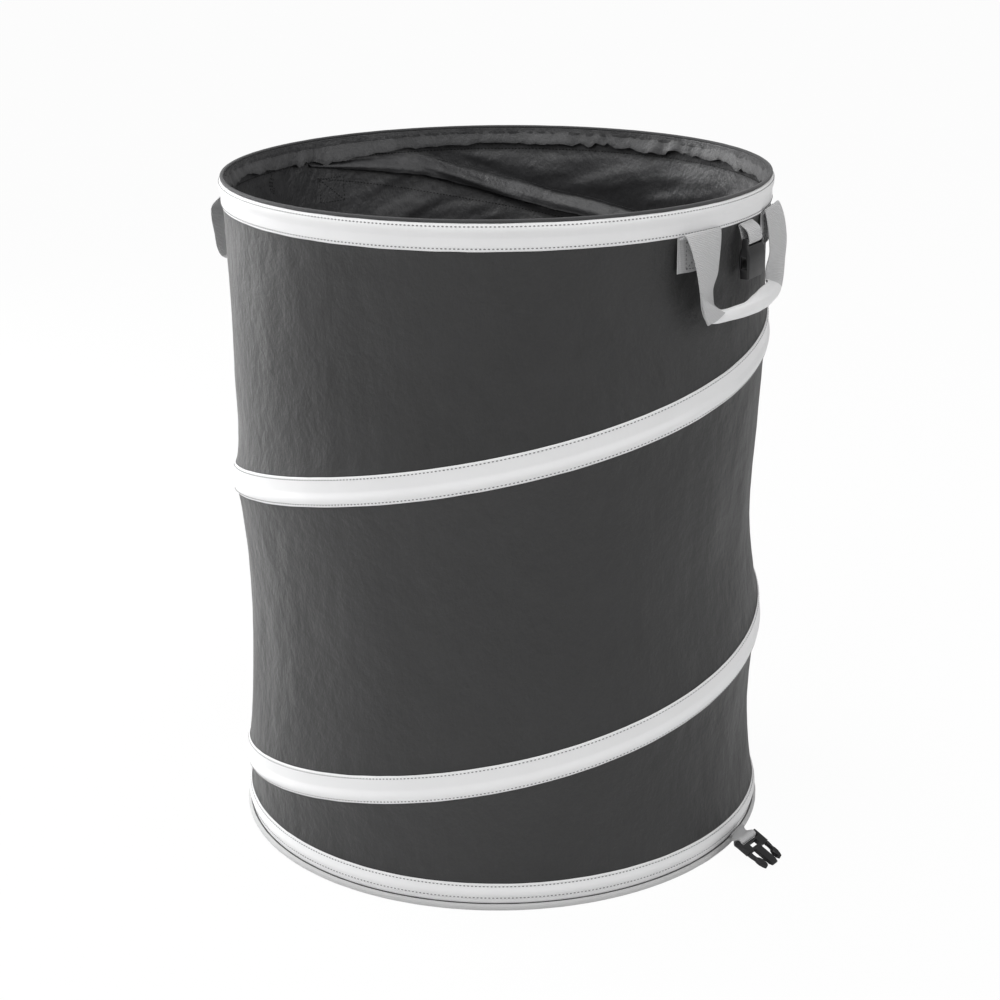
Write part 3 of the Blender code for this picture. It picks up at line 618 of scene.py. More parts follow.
def wall_inset(angle, height):
    """How far the wall lies inside its seams: drawn in between bands, with folds, and crinkled beside them."""
    stretch = free_stretch(angle, height)
    if stretch is None:
        return channel(angle, height)
    below, above = stretch
    crinkle = sizes().crinkle
    tall = min(1.0, (above - below) / SAG_REACH)
    share = (height - below) / (above - below)
    middle = 4 * share * (1 - share)
    edge = min(height - below, above - height)
    turned = polar(RADIUS, angle)
    folds = ripple(turned, 9, 0, 0, height * 3) + 0.7 * ripple(turned, 19, 7, 3, height * 6)
    streaks = 0.7 * ripple(turned, 50, 4, 8, height * 24) + 0.4 * ripple(turned, 90, 1, 2, height * 60)
    # the cloth is pulled tight high up on one side and hangs slack on the other
    taut = smooth((cosine(angle - 208) - 0.55) / 0.35) * smooth((height - 0.36) / 0.08)
    slack = smooth((cosine(angle - 28) - 0.55) / 0.35) * (1 - smooth(abs(height - 0.28) / 0.11))
    depth = SAG * middle * tall * (1 - 0.80 * taut + 0.6 * slack)
    depth += sizes().fold_depth * (0.15 + folds * (1 - 0.5 * taut)) * middle * (0.35 + 0.65 * tall)
    depth += crinkle * (1.1 + streaks) * smooth(edge / 0.02)
    # slanting creases where the inside of the rear is seen
    rear = smooth((sin(radians(angle - 5)) - 0.35) / 0.4)
    upper = smooth((height - 0.42) / 0.06)
    if rear * upper > 0:
        around = radians(angle) * RADIUS
        across = height + 0.32 * around
        creases = drift(around * 9, across * 44, 3) + 0.5 * drift(around * 22, across * 90, 8)
        depth += 0.0052 * rear * upper * max(0.0, 0.30 + creases) * smooth(edge / 0.025)
    if edge < 0.03:
        puckers = ripple(turned, 70, 2, 5, height * 12)
        depth += 1.5 * crinkle * (0.7 + puckers) * smooth(edge / 0.005) * (1 - edge / 0.03)
    return max(0.0, depth)


def wall_inside(angle, height):
    return WALL_OUT - CLOTH - wall_inset(angle, height)


def inside_line(spots):
    """A line of stitches on the wall's inside, through (angle, height) spots."""
    return [(polar(wall_inside(a, z) - 0.0002, a, z), -polar(1, a)) for a, z in spots]


class LEAFBAG_OT_wall(bpy.types.Operator):
    """Make the cloth wall, which is drawn in between the bands."""

    bl_idname = "leafbag.wall"
    bl_label = "Wall"

    def execute(self, context):
        for name, bottom, top, count in (
            ("wall_cloth", BASE_HIGH, WALL_HIGH, WALL_ROWS),
            ("wall_foot_cloth", WALL_LOW, BASE_HIGH, FOOT_ROWS),
        ):
            loops = []
            for angle in around_steps():
                pairs = []
                for z in np.linspace(bottom, top, count):
                    inset = wall_inset(angle, z)
                    pairs.append((polar(WALL_OUT - inset, angle, z), polar(WALL_OUT - CLOTH - inset, angle, z)))
                loops.append(closed(pairs))
            thing = loft(name, loops, "wall cloth", "lining cloth", around=True, back_from=count - 1)
            dressed(thing, "base", "wall_cloth", "wall_panel")
            if name == "wall_cloth":
                fold_with_wall(thing)
        return {"FINISHED"}


def ridge_at(away, depth):
    """How far the tape stands out at a distance from its wire."""
    away = abs(away) / RIDGE_REACH
    return depth * RIDGE * cos(pi / 2 * away) ** 1.6 if away < 1 else 0.0


def tape_across(width, wire, depth):
    """Points across a tape, as (share of its width, height over its back): the face, then the back."""
    face, back = [], []
    for share in shares(31):
        rise = share * width
        edge = min(rise, width - rise)
        height = TAPE * (0.35 + 0.65 * smooth(edge / 0.0011))
        height -= 0.00022 * exp(-(((edge - 0.0026) / 0.0007) ** 2))
        ridge = 0.0 if wire is None else ridge_at(rise - wire, depth)
        face.append((share, height + ridge))
        back.append((share, ridge))
    return face + back[::2][::-1]


def tape_band(name, angles, bottom, top, wire, around, seed):
    """A band of tape round the bag. bottom, top and wire give heights at an angle."""
    wobble = 0.00025
    loops = []
    for angle in angles:
        lower = bottom(angle) + wobble * drift(angle * 0.21, 1.5, seed)
        upper = top(angle) + wobble * drift(angle * 0.23, 4.5, seed)
        width = upper - lower
        line, depth = wire(angle) or (None, 0)
        at = None if line is None else line - lower
        bulge = 0.00018 * drift(angle * 0.16, 7.5, seed)
        loop = []
        for share, height in tape_across(width, at, depth):
            loop.append(polar(TAPE_BACK + height + (bulge if height > TAPE / 2 else 0), angle, lower + share * width))
        loops.append(loop)
    return loft(name, loops, "light tape", around=around)


def seam_line(angles, height, wire):
    """A line of stitches on the tape. height and wire are functions of the angle, as for tape_band."""
    line = []
    for angle in angles:
        at, z = wire(angle), height(angle)
        lift = ridge_at(z - at[0], at[1]) if at else 0.0
        line.append((polar(RADIUS + lift, angle, z), polar(1, angle)))
    return line


def level_band(body, bottom, top, wire, seed):
    """The level band of the foot or the rim."""
    band = tape_band(f"{body}_tape", around_steps(), lambda a: bottom, lambda a: top, lambda a: wire, True, seed)
    dressed(band, body, "tape", f"{body}_band")


def level_seams(body, wire, *heights):
    lines = [seam_line(around_steps() + [360], lambda a: height, lambda a: wire) for height in heights]
    stitching(f"{body}_stitches", lines, "light thread", body, "tape")


class LEAFBAG_OT_spiral(bpy.types.Operator):
    """Make the spiral: its light tape, the spring wire behind it and the loose pocket inside."""

    bl_idname = "leafbag.spiral"
    bl_label = "Spiral"

    def execute(self, context):
        step = 360 / sizes().turn_steps
        angles = np.arange(COIL_FROM, COIL_TO + step / 2, step)
        wide = [a for a in angles if coil_high(a) - coil_low(a) > 0.0008]
        tape = tape_band("spiral_tape", wide, coil_low, coil_high, coil_wire, False, 2.0)
        fold_with_wall(dressed(tape, "base", "tape", "spiral_band"))

        loops = []
        for angle in angles:
            line = coil_wire(angle)
            if line is None or line[1] < 1:
                continue
            centre = polar(WIRE_RADIUS, angle, line[0])
            out, up = polar(1, angle), Vector((0, 0, 1))
            turns = map(radians, range(0, 360, 36))
            loops.append([centre + (out * cos(t) + up * sin(t)) * WIRE / 2 for t in turns])
        wire = loft("spiral_spring_wire", loops, "spring wire")
        fold_with_wall(dressed(wire, "base", "spring_wire", "spiral_wire"))

        seam = [a for a in wide if coil_high(a) - coil_low(a) > 3 * HEM]
        lines = [
            seam_line(seam, lambda a: coil_low(a) + HEM, coil_wire),
            seam_line(seam, lambda a: coil_high(a) - HEM, coil_wire),
        ]
        fold_with_wall(stitching("spiral_stitches", lines, "light thread", "base", "tape"))
        self.pocket(step)
        return {"FINISHED"}

    def pocket(self, step):
        """The strip inside that holds the wire: it bulges over the wire and ends in a loose lip."""
        angles = np.arange(POCKET_FROM, LIP[-1][0] + step / 2, step)
        loops = []
        for angle in angles:
            fade = smooth((angle - POCKET_FROM) / 30) * (0.35 + 0.65 * smooth((LIP[-1][0] - angle) / 14))
            wave = drift(angle * 0.11, 3, 1) + 0.5 * drift(angle * 0.31, 5, 2)
            bottom = lip_height(angle) + 0.0018 * wave
            top = min(bottom + POCKET_DROP, RIM_LOW + 0.002)
            pairs = []
            for share in shares(17):
                height = top + (bottom - top) * share
                bulge = (0.0072 + 0.0016 * wave) * smooth((share - 0.10) / 0.62) - 0.0012 * smooth((share - 0.8) / 0.2)
                radius = wall_inside(angle, height) - 0.0004 - bulge * fade
                pairs.append((polar(radius, angle, height), polar(radius - 0.0006, angle, height)))
            loops.append(closed(pairs))
        strip = dressed(loft("spiral_pocket", loops, "lining cloth"), "base", "lining")
        fold_with_wall(strip)
        lines = []
        for first, last, height_at in (
            (POCKET_FROM + 6, SEAM[0][0], lambda a: coil_height(a) - COIL / 2 + HEM),
            (SEAM[0][0], SEAM[-1][0] - 1, lambda a: np.interp(a, *zip(*SEAM))),
        ):
            spots = [(a, height_at(a)) for a in np.arange(first, last, step)]
            lines.append(inside_line([(a, z) for a, z in spots if z > BASE_HIGH + 0.004]))
        for reach in ARCS:
            ways = [radians(turn) for turn in np.linspace(-75, 75, 13)]
            arc = [(ARCS_ANGLE + degrees(reach * cos(w) / RADIUS), ARCS_HEIGHT + reach * sin(w)) for w in ways]
            lines.append(inside_line(arc))
        fold_with_wall(stitching("spiral_inner_stitches", lines, "dark thread", "base", "lining"))


def lip_height(angle):
    """Lower edge of the strip inside."""
    if angle <= LIP[0][0]:
        return max(coil_height(angle) - COIL_WIRE + 0.0022, BASE_HIGH + 0.003)
    return float(np.interp(angle, *zip(*LIP)))


# Foot and rim


def close_middle(thing):
    """Join the points that a loft puts on top of each other at the middle of a disc."""
    shape = bmesh.new()
    shape.from_mesh(thing.data)
    bmesh.ops.remove_doubles(shape, verts=shape.verts, dist=1e-6)
    bmesh.ops.delete(shape, geom=[edge for edge in shape.edges if not edge.link_faces], context="EDGES")
    shape.to_mesh(thing.data)
    shape.free()


def turned_ring(name, profile, *materials, sway=None, back_from=None):
    """A ring from a closed profile of (radius, height) points. sway gives how far it moves at an angle."""
    loops = []
    for angle in around_steps():
        dr, dz = sway(angle) if sway else (0, 0)
        loops.append([polar(radius + dr, angle, height + dz) for radius, height in profile])
    return loft(name, loops, *materials, around=True, back_from=back_from)


def rounded(inside, outside, bottom, top, corner, steps):
    """A profile with round corners, counted from the lower inner corner."""
    points = []
    for cx, cz, start in (
        (inside + corner, bottom + corner, 180),
        (outside - corner, bottom + corner, 270),
        (outside - corner, top - corner, 0),
        (inside + corner, top - corner, 90),
    ):
        for i in range(steps):
            turn = radians(start + 90 * i / (steps - 1))
            points.append((cx + corner * cos(turn), cz + corner * sin(turn)))
    return points


class LEAFBAG_OT_foot(bpy.types.Operator):
    """Make the foot: the base cloth, its ribbed binding and the light band above it."""

    bl_idname = "leafbag.foot"
    bl_label = "Foot"

    def execute(self, context):
        level_band("base", BASE_LOW, BASE_HIGH, (BASE_WIRE, 1.0), 5.0)
        profile = rounded(WALL_OUT + 0.0001, TAPE_BACK + 0.0005, BINDING_HIGH + 0.0002, BASE_LOW + 0.0004, 0.0002, 3)
        dressed(turned_ring("base_tape_tuck", profile, "light tape"), "base", "tape")
        level_seams("base", (BASE_WIRE, 1.0), BASE_HIGH - HEM, BASE_LOW + HEM * 0.8)

        inside = BINDING_OUT - BINDING_WIDE
        binding = turned_ring(
            "base_ribbed_binding",
            rounded(inside, BINDING_OUT, 0.0, BINDING_HIGH, 0.0024, 6),
            "grosgrain",
            "lining cloth",
            sway=lambda a: (0.00025 * drift(a * 0.3, 2, 4), 0.0),
            back_from=17,
        )
        dressed(binding, "base", "grosgrain", "base_binding")
        self.panel(inside)
        return {"FINISHED"}

    def panel(self, reach):
        """The cloth of the bottom, with soft creases on its upper side."""
        thick = high("base_panel", Z)
        steps = shares(37)
        loops = []
        for angle in around_steps()[::2]:
            pairs = []
            for share in steps:
                radius = share * (reach - GAP)
                spot = polar(radius, angle)
                rise = 0.0035 * max(0, ripple(spot, 13, 0, 0, 0)) * smooth((1 - share) / 0.15)
                rise = thick * 0.6 + rise + 0.0004 * (1 + ripple(spot, 60, 0, 0, 0))
                pairs.append((polar(radius, angle, 0.0), polar(radius, angle, rise)))
            loops.append(closed(pairs))
        panel = loft("base_cloth", loops, "wall cloth", "lining cloth", around=True, back_from=len(steps) - 1)
        close_middle(panel)
        dressed(panel, "base", "base_cloth", "base_panel")


class LEAFBAG_OT_rim(bpy.types.Operator):
    """Make the rim: the light band, the dark piping and the loose facing inside."""

    bl_idname = "leafbag.rim"
    bl_label = "Rim"

    def execute(self, context):
        level_band("rim", RIM_LOW, RIM_HIGH, (RIM_WIRE, 0.9), 8.0)
        level_seams("rim", (RIM_WIRE, 0.9), RIM_HIGH - HEM, RIM_LOW + HEM)
        piping = turned_ring(
            "rim_rolled_piping",
            rounded(high("rim_facing", X) - CLOTH, RADIUS, RIM_HIGH + GAP, HEIGHT, 0.0013, 6),
            "rim piping",
            sway=lambda a: (0.0002 * drift(a * 0.31, 3, 6), -0.00012 * (1 + drift(a * 0.27, 8, 6))),
        )
        dressed(piping, "rim", "dark_binding", "rim_piping")
        self.facing()
        self.backing()
        return {"FINISHED"}

    def facing(self):
        """A strip sewn under the piping that hangs down inside, its lower edge loose and wavy."""
        outside, drop = high("rim_facing", X), sizes().facing_drop
        loops = []
        for angle in around_steps():
            spot = polar(1, angle)
            wave = ripple(spot, 5, 0, 0, 0) + 0.6 * ripple(spot, 13, 4, 4, 4)
            lively = smooth(0.5 + 1.6 * ripple(spot, 3, 2, 7, 5))
            scallop = ripple(spot, 27, 9, 1, 2)
            left = smooth((cosine(angle - 166) - 0.86) / 0.12)
            length = drop + 0.0045 * wave + 0.0040 * left + 0.0085 * lively * min(0.35, scallop)
            flare = 0.0026 + 0.0026 * max(-0.8, wave) - 0.0030 * lively * scallop
            pairs = []
            for share in shares(17):
                height = RIM_HIGH - share * length
                pleat = 0.0007 * ripple(spot, 46, 0, 0, height * 30)
                radius = outside - 0.0002 - flare * smooth((share - 0.15) / 0.85) - 0.0007 * share - pleat * share
                radius = min(radius, outside)
                pairs.append((polar(radius, angle, height), polar(radius - 0.0005, angle, height)))
            loops.append(closed(pairs))
        facing = loft("rim_loose_facing", loops, "facing cloth", around=True)
        dressed(facing, "rim", "lining", "rim_facing")

    def backing(self):
        """The cloth that holds the rim's wire from inside, with its dark stitches."""
        inside, reach = WALL_OUT - CLOTH, 0.0065
        profile = [(inside + 0.0001, RIM_LOW), (inside + 0.0001, RIM_HIGH), (high("rim_facing", X) - 0.0001, RIM_HIGH)]
        for off, rise in ((0.0004, reach), (0.0016, 0), (0.0004, -reach)):
            profile.append((inside - off, RIM_WIRE + rise))
        dressed(turned_ring("rim_channel_backing", profile, "lining cloth"), "rim", "lining")
        line = [(polar(inside - 0.0003, a, RIM_LOW + HEM), -polar(1, a)) for a in around_steps() + [360]]
        stitching("rim_inner_stitches", [line], "dark thread", "rim", "lining")


class LEAFBAG_OT_wires(bpy.types.Operator):
    """Give the two spring hoops their drawn wire."""

    bl_idname = "leafbag.wires"
    bl_label = "Spring hoops"

    def execute(self, context):
        for node in ("base_hoop_wire", "rim_hoop_wire"):
            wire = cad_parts[node]
            wire.data.materials.clear()
            wire.data.materials.append(finish("spring wire"))
        return {"FINISHED"}


# Handles


def through(rows, steps):
    """Rows of numbers with smooth in-between rows, which still pass through each row given."""
    rows = np.array(rows, float)
    padded = np.vstack([2 * rows[0] - rows[1], rows, 2 * rows[-1] - rows[-2]])
    result = []
    for i in range(1, len(padded) - 2):
        a, b, c, d = padded[i - 1 : i + 3]
        for t in np.arange(steps) / steps:
            result.append(
                0.5 * (2 * b + (c - a) * t + (2 * a - 5 * b + 4 * c - d) * t**2 + (3 * b - a - 3 * c + d) * t**3)
            )
    result.append(rows[-1])
    return result


def top_of_handle():
    return RIM_LOW - GAP - WEBBING / 2


def on_handle(side, share, fall, free, out, over):
    """A point by its share of the leg's angle and of the drop, partly on the wall's curve, partly in the
    handle's plane."""
    root, top = (WALL_OUT + WEBBING + 2 * GAP) / cos(LEG_HALF / 2 / RADIUS), top_of_handle()
    fold = root * cosine(LEG_ANGLE)
    point = polar(root, side * LEG_ANGLE * share, top - fall * (HANDLE_DROP - RIM_LOW + top))
    point.x += free * (fold + out * (RADIUS + HANDLE_OUT - fold) - point.x) + over
    return point


def handle_rows(flare):
    """Rows from one root of the handle to the other: a line of points across the webbing, and its thickness.

    flare is how far the second leg stands off the plane of the handle."""
    rows = []
    for side in (-1, 1):
        leg = []
        for outer, outer_drop, inner, inner_drop, free, out, thick in through(HANDLE_SHARES, ROW_STEPS):
            inner_drop += GRIP_DROP * smooth((inner_drop - 0.6) / 0.15) * smooth((0.35 - side * inner) / 0.7)
            line = []
            for t in shares(11):
                fall = outer_drop + (inner_drop - outer_drop) * t
                dip = smooth((fall - 0.42) / 0.25) * smooth((t - 0.3) / 0.5) * (1 - smooth((fall - 0.80) / 0.07))
                share = outer + (inner - outer) * t
                off = flare * smooth(fall / 0.3) * smooth((share - 0.5) / 0.8) if side > 0 else 0.0
                line.append(on_handle(side, share, fall, free, out, off - CORNER_DIP * dip))
            leg.append((line, thick))
        rows += leg if side < 0 else leg[-2::-1]
    return rows


def strap_loops(rows):
    """Closed sections for rows of (points across, thickness): flat webbing, or a padded roll where it is thick."""
    loops = []
    for i, (line, thick) in enumerate(rows):
        before, after = rows[max(0, i - 1)][0], rows[min(len(rows) - 1, i + 1)][0]
        along = after[0] + after[-1] - before[0] - before[-1]
        normal = along.cross(line[0] - line[-1]).normalized()
        roll = smooth((thick - 1.1) / 1.2)
        pairs = []
        for j, point in enumerate(line):
            off = abs(2 * j / (len(line) - 1) - 1)
            flat = WEBBING / 2 * (0.45 + 0.55 * (1 - off**9))
            padded = WEBBING * thick / 2 * sqrt(max(0.0, 1 - off**2.6)) * 1.1 + WEBBING * 0.2
            height = flat * (1 - roll) + padded * roll
            pairs.append((point + normal * height, point - normal * height))
        loops.append(closed(pairs))
    return loops


def half_turn(thing, side):
    """Turn a piece made for the right side to the left side."""
    if side == "left":
        thing.data.transform(Matrix.Rotation(radians(LEFT_TURN), 4, "Z"))
    return thing


def end_of(side, way):
    """The name of a handle's end. The left handle is made on the right, so its ends change places when turned."""
    return "front" if (way < 0) == (side == "right") else "rear"


def on_curve(corners, t):
    """A place on the curve that four corners span."""
    weights = (1 - t) ** 3, 3 * t * (1 - t) ** 2, 3 * t * t * (1 - t), t**3
    return sum(np.array(corner) * weight for corner, weight in zip(corners, weights))


class LEAFBAG_OT_handles(bpy.types.Operator):
    """Make both handles: roots, hanging legs, folded corners and a padded grip, with their sewn ends."""

    bl_idname = "leafbag.handles"
    bl_label = "Handles"

    def execute(self, context):
        split, grip = LEG_ROWS * ROW_STEPS, GRIP_ROWS * ROW_STEPS
        for side, flare in (("right", 0.0), ("left", LEFT_FLARE)):
            body, rows = f"{side}_handle", handle_rows(flare)
            turn_over = rows[split][0][-1].z
            for way, part in ((-1, rows[: split + 1]), (1, rows[-split - 1 :])):
                leg = half_turn(loft(f"{body}_{end_of(side, way)}_root", strap_loops(part), "webbing"), side)
                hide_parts(body)
                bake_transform(leg)
            for name, part, material, slot in (
                (f"{end_of(side, -1)}_leg", rows[split : grip + 1], "webbing", "handle_webbing"),
                ("grip", rows[grip:-grip], "light tape", "tape"),
                (f"{end_of(side, 1)}_leg", rows[-grip - 1 : -split], "webbing", "handle_webbing"),
            ):
                piece = half_turn(loft(f"{body}_{name}", strap_loops(part), material), side)
                flattened(dressed(piece, body, slot, body))
            self.fold(side, turn_over)
            for way in (-1, 1):
                self.sewn_end(side, way)
        return {"FINISHED"}

    def fold(self, side, turn_over):
        """The near corner of a handle, where the webbing turns over itself along a diagonal."""
        loops = []
        for t in shares(19):
            start, end = [on_curve(edge, t) for edge in FLAP_EDGES]
            pairs = []
            for share in shares(9):
                spot = start + (end - start) * share
                out = 0.40 + 0.10 * smooth((1.2 - spot[0]) / 0.4)
                over = 0.0012 + 0.0036 * smooth(t / 0.6) * (0.35 + 0.65 * smooth(share / 0.35))
                pairs.append([on_handle(-1, *spot, 1.0, out, over + off) for off in (WEBBING / 2, -WEBBING / 2)])
            loops.append(closed(pairs))
        body = f"{side}_handle"
        flap = half_turn(loft(f"{body}_{end_of(side, -1)}_fold", loops, "webbing"), side)
        flattened(dressed(flap, body, "handle_webbing"))

    def sewn_end(self, side, way):
        """The flat end of a handle on the wall, with its stitched box, and the same box inside the bag."""
        name = f"{side}_handle_{end_of(side, way)}"
        half, middle = degrees(LEG_HALF / RADIUS), way * LEG_ANGLE
        top, bottom = RIM_LOW - GAP, low("right_handle_front_end", Z)
        inside = WALL_OUT + GAP
        loops = []
        for share in shares(15):
            angle = middle - half + 2 * half * share
            thick = WEBBING * (0.55 + 0.45 * (1 - abs(2 * share - 1) ** 10))
            pairs = []
            for rise in shares(9):
                height = bottom + (top - bottom) * rise + 0.0007 * (1 - rise) * drift(share * 5, way, 3)
                outside = inside + thick * (0.6 + 0.4 * smooth(rise / 0.08))
                pairs.append((polar(outside, angle, height), polar(inside, angle, height)))
            loops.append(closed(pairs))
        patch = half_turn(loft(f"{name}_sewn_end", loops, "webbing"), side)
        fold_below_rim(dressed(patch, "rim", "handle_webbing", f"{name}_end"))

        turned, lower = (0, 0) if side == "right" else (LEFT_TURN, LEFT_BOX_DROP)
        for place, drop, thread, slot in (
            ("outer", 0, "light thread", "handle_webbing"),
            ("inner", lower, "dark thread", "lining"),
        ):
            width, low_edge, high_edge = 0.62 * half, bottom + 0.003 - drop, top - 0.004 - drop
            box = [(-width, low_edge), (width, low_edge), (width, high_edge), (-width, high_edge)]
            runs = [(box[i], box[(i + 1) % 4]) for i in range(4)] + [(box[0], box[2])]
            if place == "outer":
                runs.append((box[3], box[1]))
            lines = []
            for (a0, z0), (a1, z1) in runs:
                spots = [(turned + middle + a0 + (a1 - a0) * t, z0 + (z1 - z0) * t) for t in shares(9)]
                if place == "outer":
                    lines.append([(polar(inside + WEBBING, a, z), polar(1, a)) for a, z in spots])
                else:
                    lines.append(inside_line(spots))
            fold_below_rim(stitching(f"{name}_{place}_stitches", lines, thread, "rim", slot))


# Loops and buckles


def loop_path(length, bulge):
    """The middle line of a webbing loop, as (along, off): round its root, out, round the bar and back."""
    near = WEBBING / 2 + GAP
    far = BAR / sqrt(2) + GAP + WEBBING / 2
    path = []
    for turn in range(90, 271, 15):
        path.append((near * cosine(turn), near * sin(radians(turn))))
    for share in np.linspace(0.15, 0.85, 6):
        path.append((share * length, -near - smooth(share) * (far - near)))
    for turn in range(-90, 91, 15):
        path.append((length + far * cosine(turn), far * sin(radians(turn))))
    for share in np.linspace(0.9, 0.1, 8):
        path.append((share * length, near + share * (far - near) + bulge * sin(pi * share)))
    return path


def webbing_loop(name, length, bulge, put_at):
    """A closed loop of webbing. put_at turns (along, across, off) into a point."""
    path = loop_path(length, bulge)
    loops = []
    for i, (along, off) in enumerate(path):
        before, after = path[i - 1], path[(i + 1) % len(path)]
        run = Vector((after[0] - before[0], after[1] - before[1])).normalized()
        side = Vector((-run.y, run.x))
        pairs = []
        for share in np.linspace(-1, 1, 9):
            half = WEBBING / 2 * (0.55 + 0.45 * (1 - abs(share) ** 8))
            across = share * TAB / 2
            pairs.append([put_at(along + side.x * h, across, off + side.y * h) for h in (half, -half)])
        loops.append(closed(pairs))
    return loft(name, loops, "webbing", around=True)


def upper_put():
    """Where the upper loop runs: from its root under the rim's band down and out. Gives its length and put_at."""
    root_radius = WEBBING + GAP
    root = polar(WALL_OUT + GAP + root_radius, UPPER_ANGLE, RIM_LOW - GAP - root_radius)
    turn = Matrix.Rotation(radians(UPPER_ANGLE), 3, "Z")
    lean = radians(UPPER_LEAN)
    along = turn @ Vector((sin(lean), 0, -cos(lean)))
    off = turn @ Vector((cos(lean), 0, sin(lean)))
    across = turn @ Vector((0, 1, 0))
    return UPPER_LENGTH, lambda u, v, w: root + along * u + across * v + off * w


def lower_put():
    """Where the lower loop runs: out along the radius, aside, and square onto the plug's bar."""
    root = polar(BINDING_OUT, LOWER_ANGLE, BINDING_HIGH + 2 * GAP + WEBBING)
    bar = Vector((RADIUS + PLUG_OUT, root.y + PLUG_ASIDE, PLUG_UP))
    turn = Matrix.Rotation(radians(LOWER_ANGLE), 3, "Z")
    end_turn = radians(PLUG_YAW - LOWER_ANGLE)
    way = turn.inverted() @ (bar - root)
    along = turn @ Vector((way.x, 0, way.z)).normalized()
    across = turn @ Vector((0, 1, 0))
    off = along.cross(across)
    knee = turn.inverted() @ (bar - root - Matrix.Rotation(end_turn, 3, "Z") @ along * PLUG_SQUARE)
    reach = hypot(knee.x, knee.z)
    first = turn @ Vector((knee.x, 0, knee.z)) / reach

    def put_at(u, v, w):
        share = smooth(u / reach)
        bend = Matrix.Rotation(end_turn * share, 3, "Z")
        past = max(0, u - reach)
        return root + first * (u - past) + across * knee.y * share + bend @ (along * past + across * v + off * w)

    return reach + PLUG_SQUARE, put_at


class LEAFBAG_OT_loops(bpy.types.Operator):
    """Make the webbing loops that hold the buckle halves."""

    bl_idname = "leafbag.loops"
    bl_label = "Buckle loops"

    def execute(self, context):
        for side in ("right", "left"):
            for place, bulge, (length, put_at) in (
                ("upper", UPPER_BULGE, upper_put()),
                ("lower", LOWER_BULGE, lower_put()),
            ):
                loop = half_turn(webbing_loop(f"{side}_{place}_loop", length, bulge, put_at), side)
                dressed(loop, f"{side}_{place}_tab", "tab_webbing", f"{side}_{place}_tab")
        return {"FINISHED"}


def round_edged(name, node, width):
    """A new piece of plastic with a plain node's shape, whose edges are moulded round."""
    shape = bmesh.new()
    shape.from_mesh(node.data)
    shape.transform(node.matrix_world)
    bmesh.ops.remove_doubles(shape, verts=shape.verts, dist=0.00001)
    bmesh.ops.dissolve_limit(shape, angle_limit=radians(2), verts=shape.verts, edges=shape.edges)
    sharp = [e for e in shape.edges if e.is_manifold and e.calc_face_angle() > radians(25)]
    bmesh.ops.bevel(shape, geom=sharp, offset=width, segments=3, profile=0.5, affect="EDGES", clamp_overlap=True)
    mesh = bpy.data.meshes.new(name)
    shape.to_mesh(mesh)
    shape.free()
    return put(name, mesh, "buckle plastic", crisp=40)


class LEAFBAG_OT_buckles(bpy.types.Operator):
    """Make the buckles with the round edges of moulded plastic."""

    bl_idname = "leafbag.buckles"
    bl_label = "Buckles"

    def execute(self, context):
        for side in ("right", "left"):
            for piece, body, width in (
                ("socket_buckle", "socket", 0.0005),
                ("plug_buckle", "plug", 0.0003),
                ("plug_front_prong", "front_prong", 0.0003),
                ("plug_rear_prong", "rear_prong", 0.0003),
            ):
                node, body = f"{side}_{piece}", f"{side}_{body}"
                thing = round_edged(f"{body}_moulding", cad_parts[node], width)
                dressed(thing, body, "buckle_plastic", node)
        return {"FINISHED"}


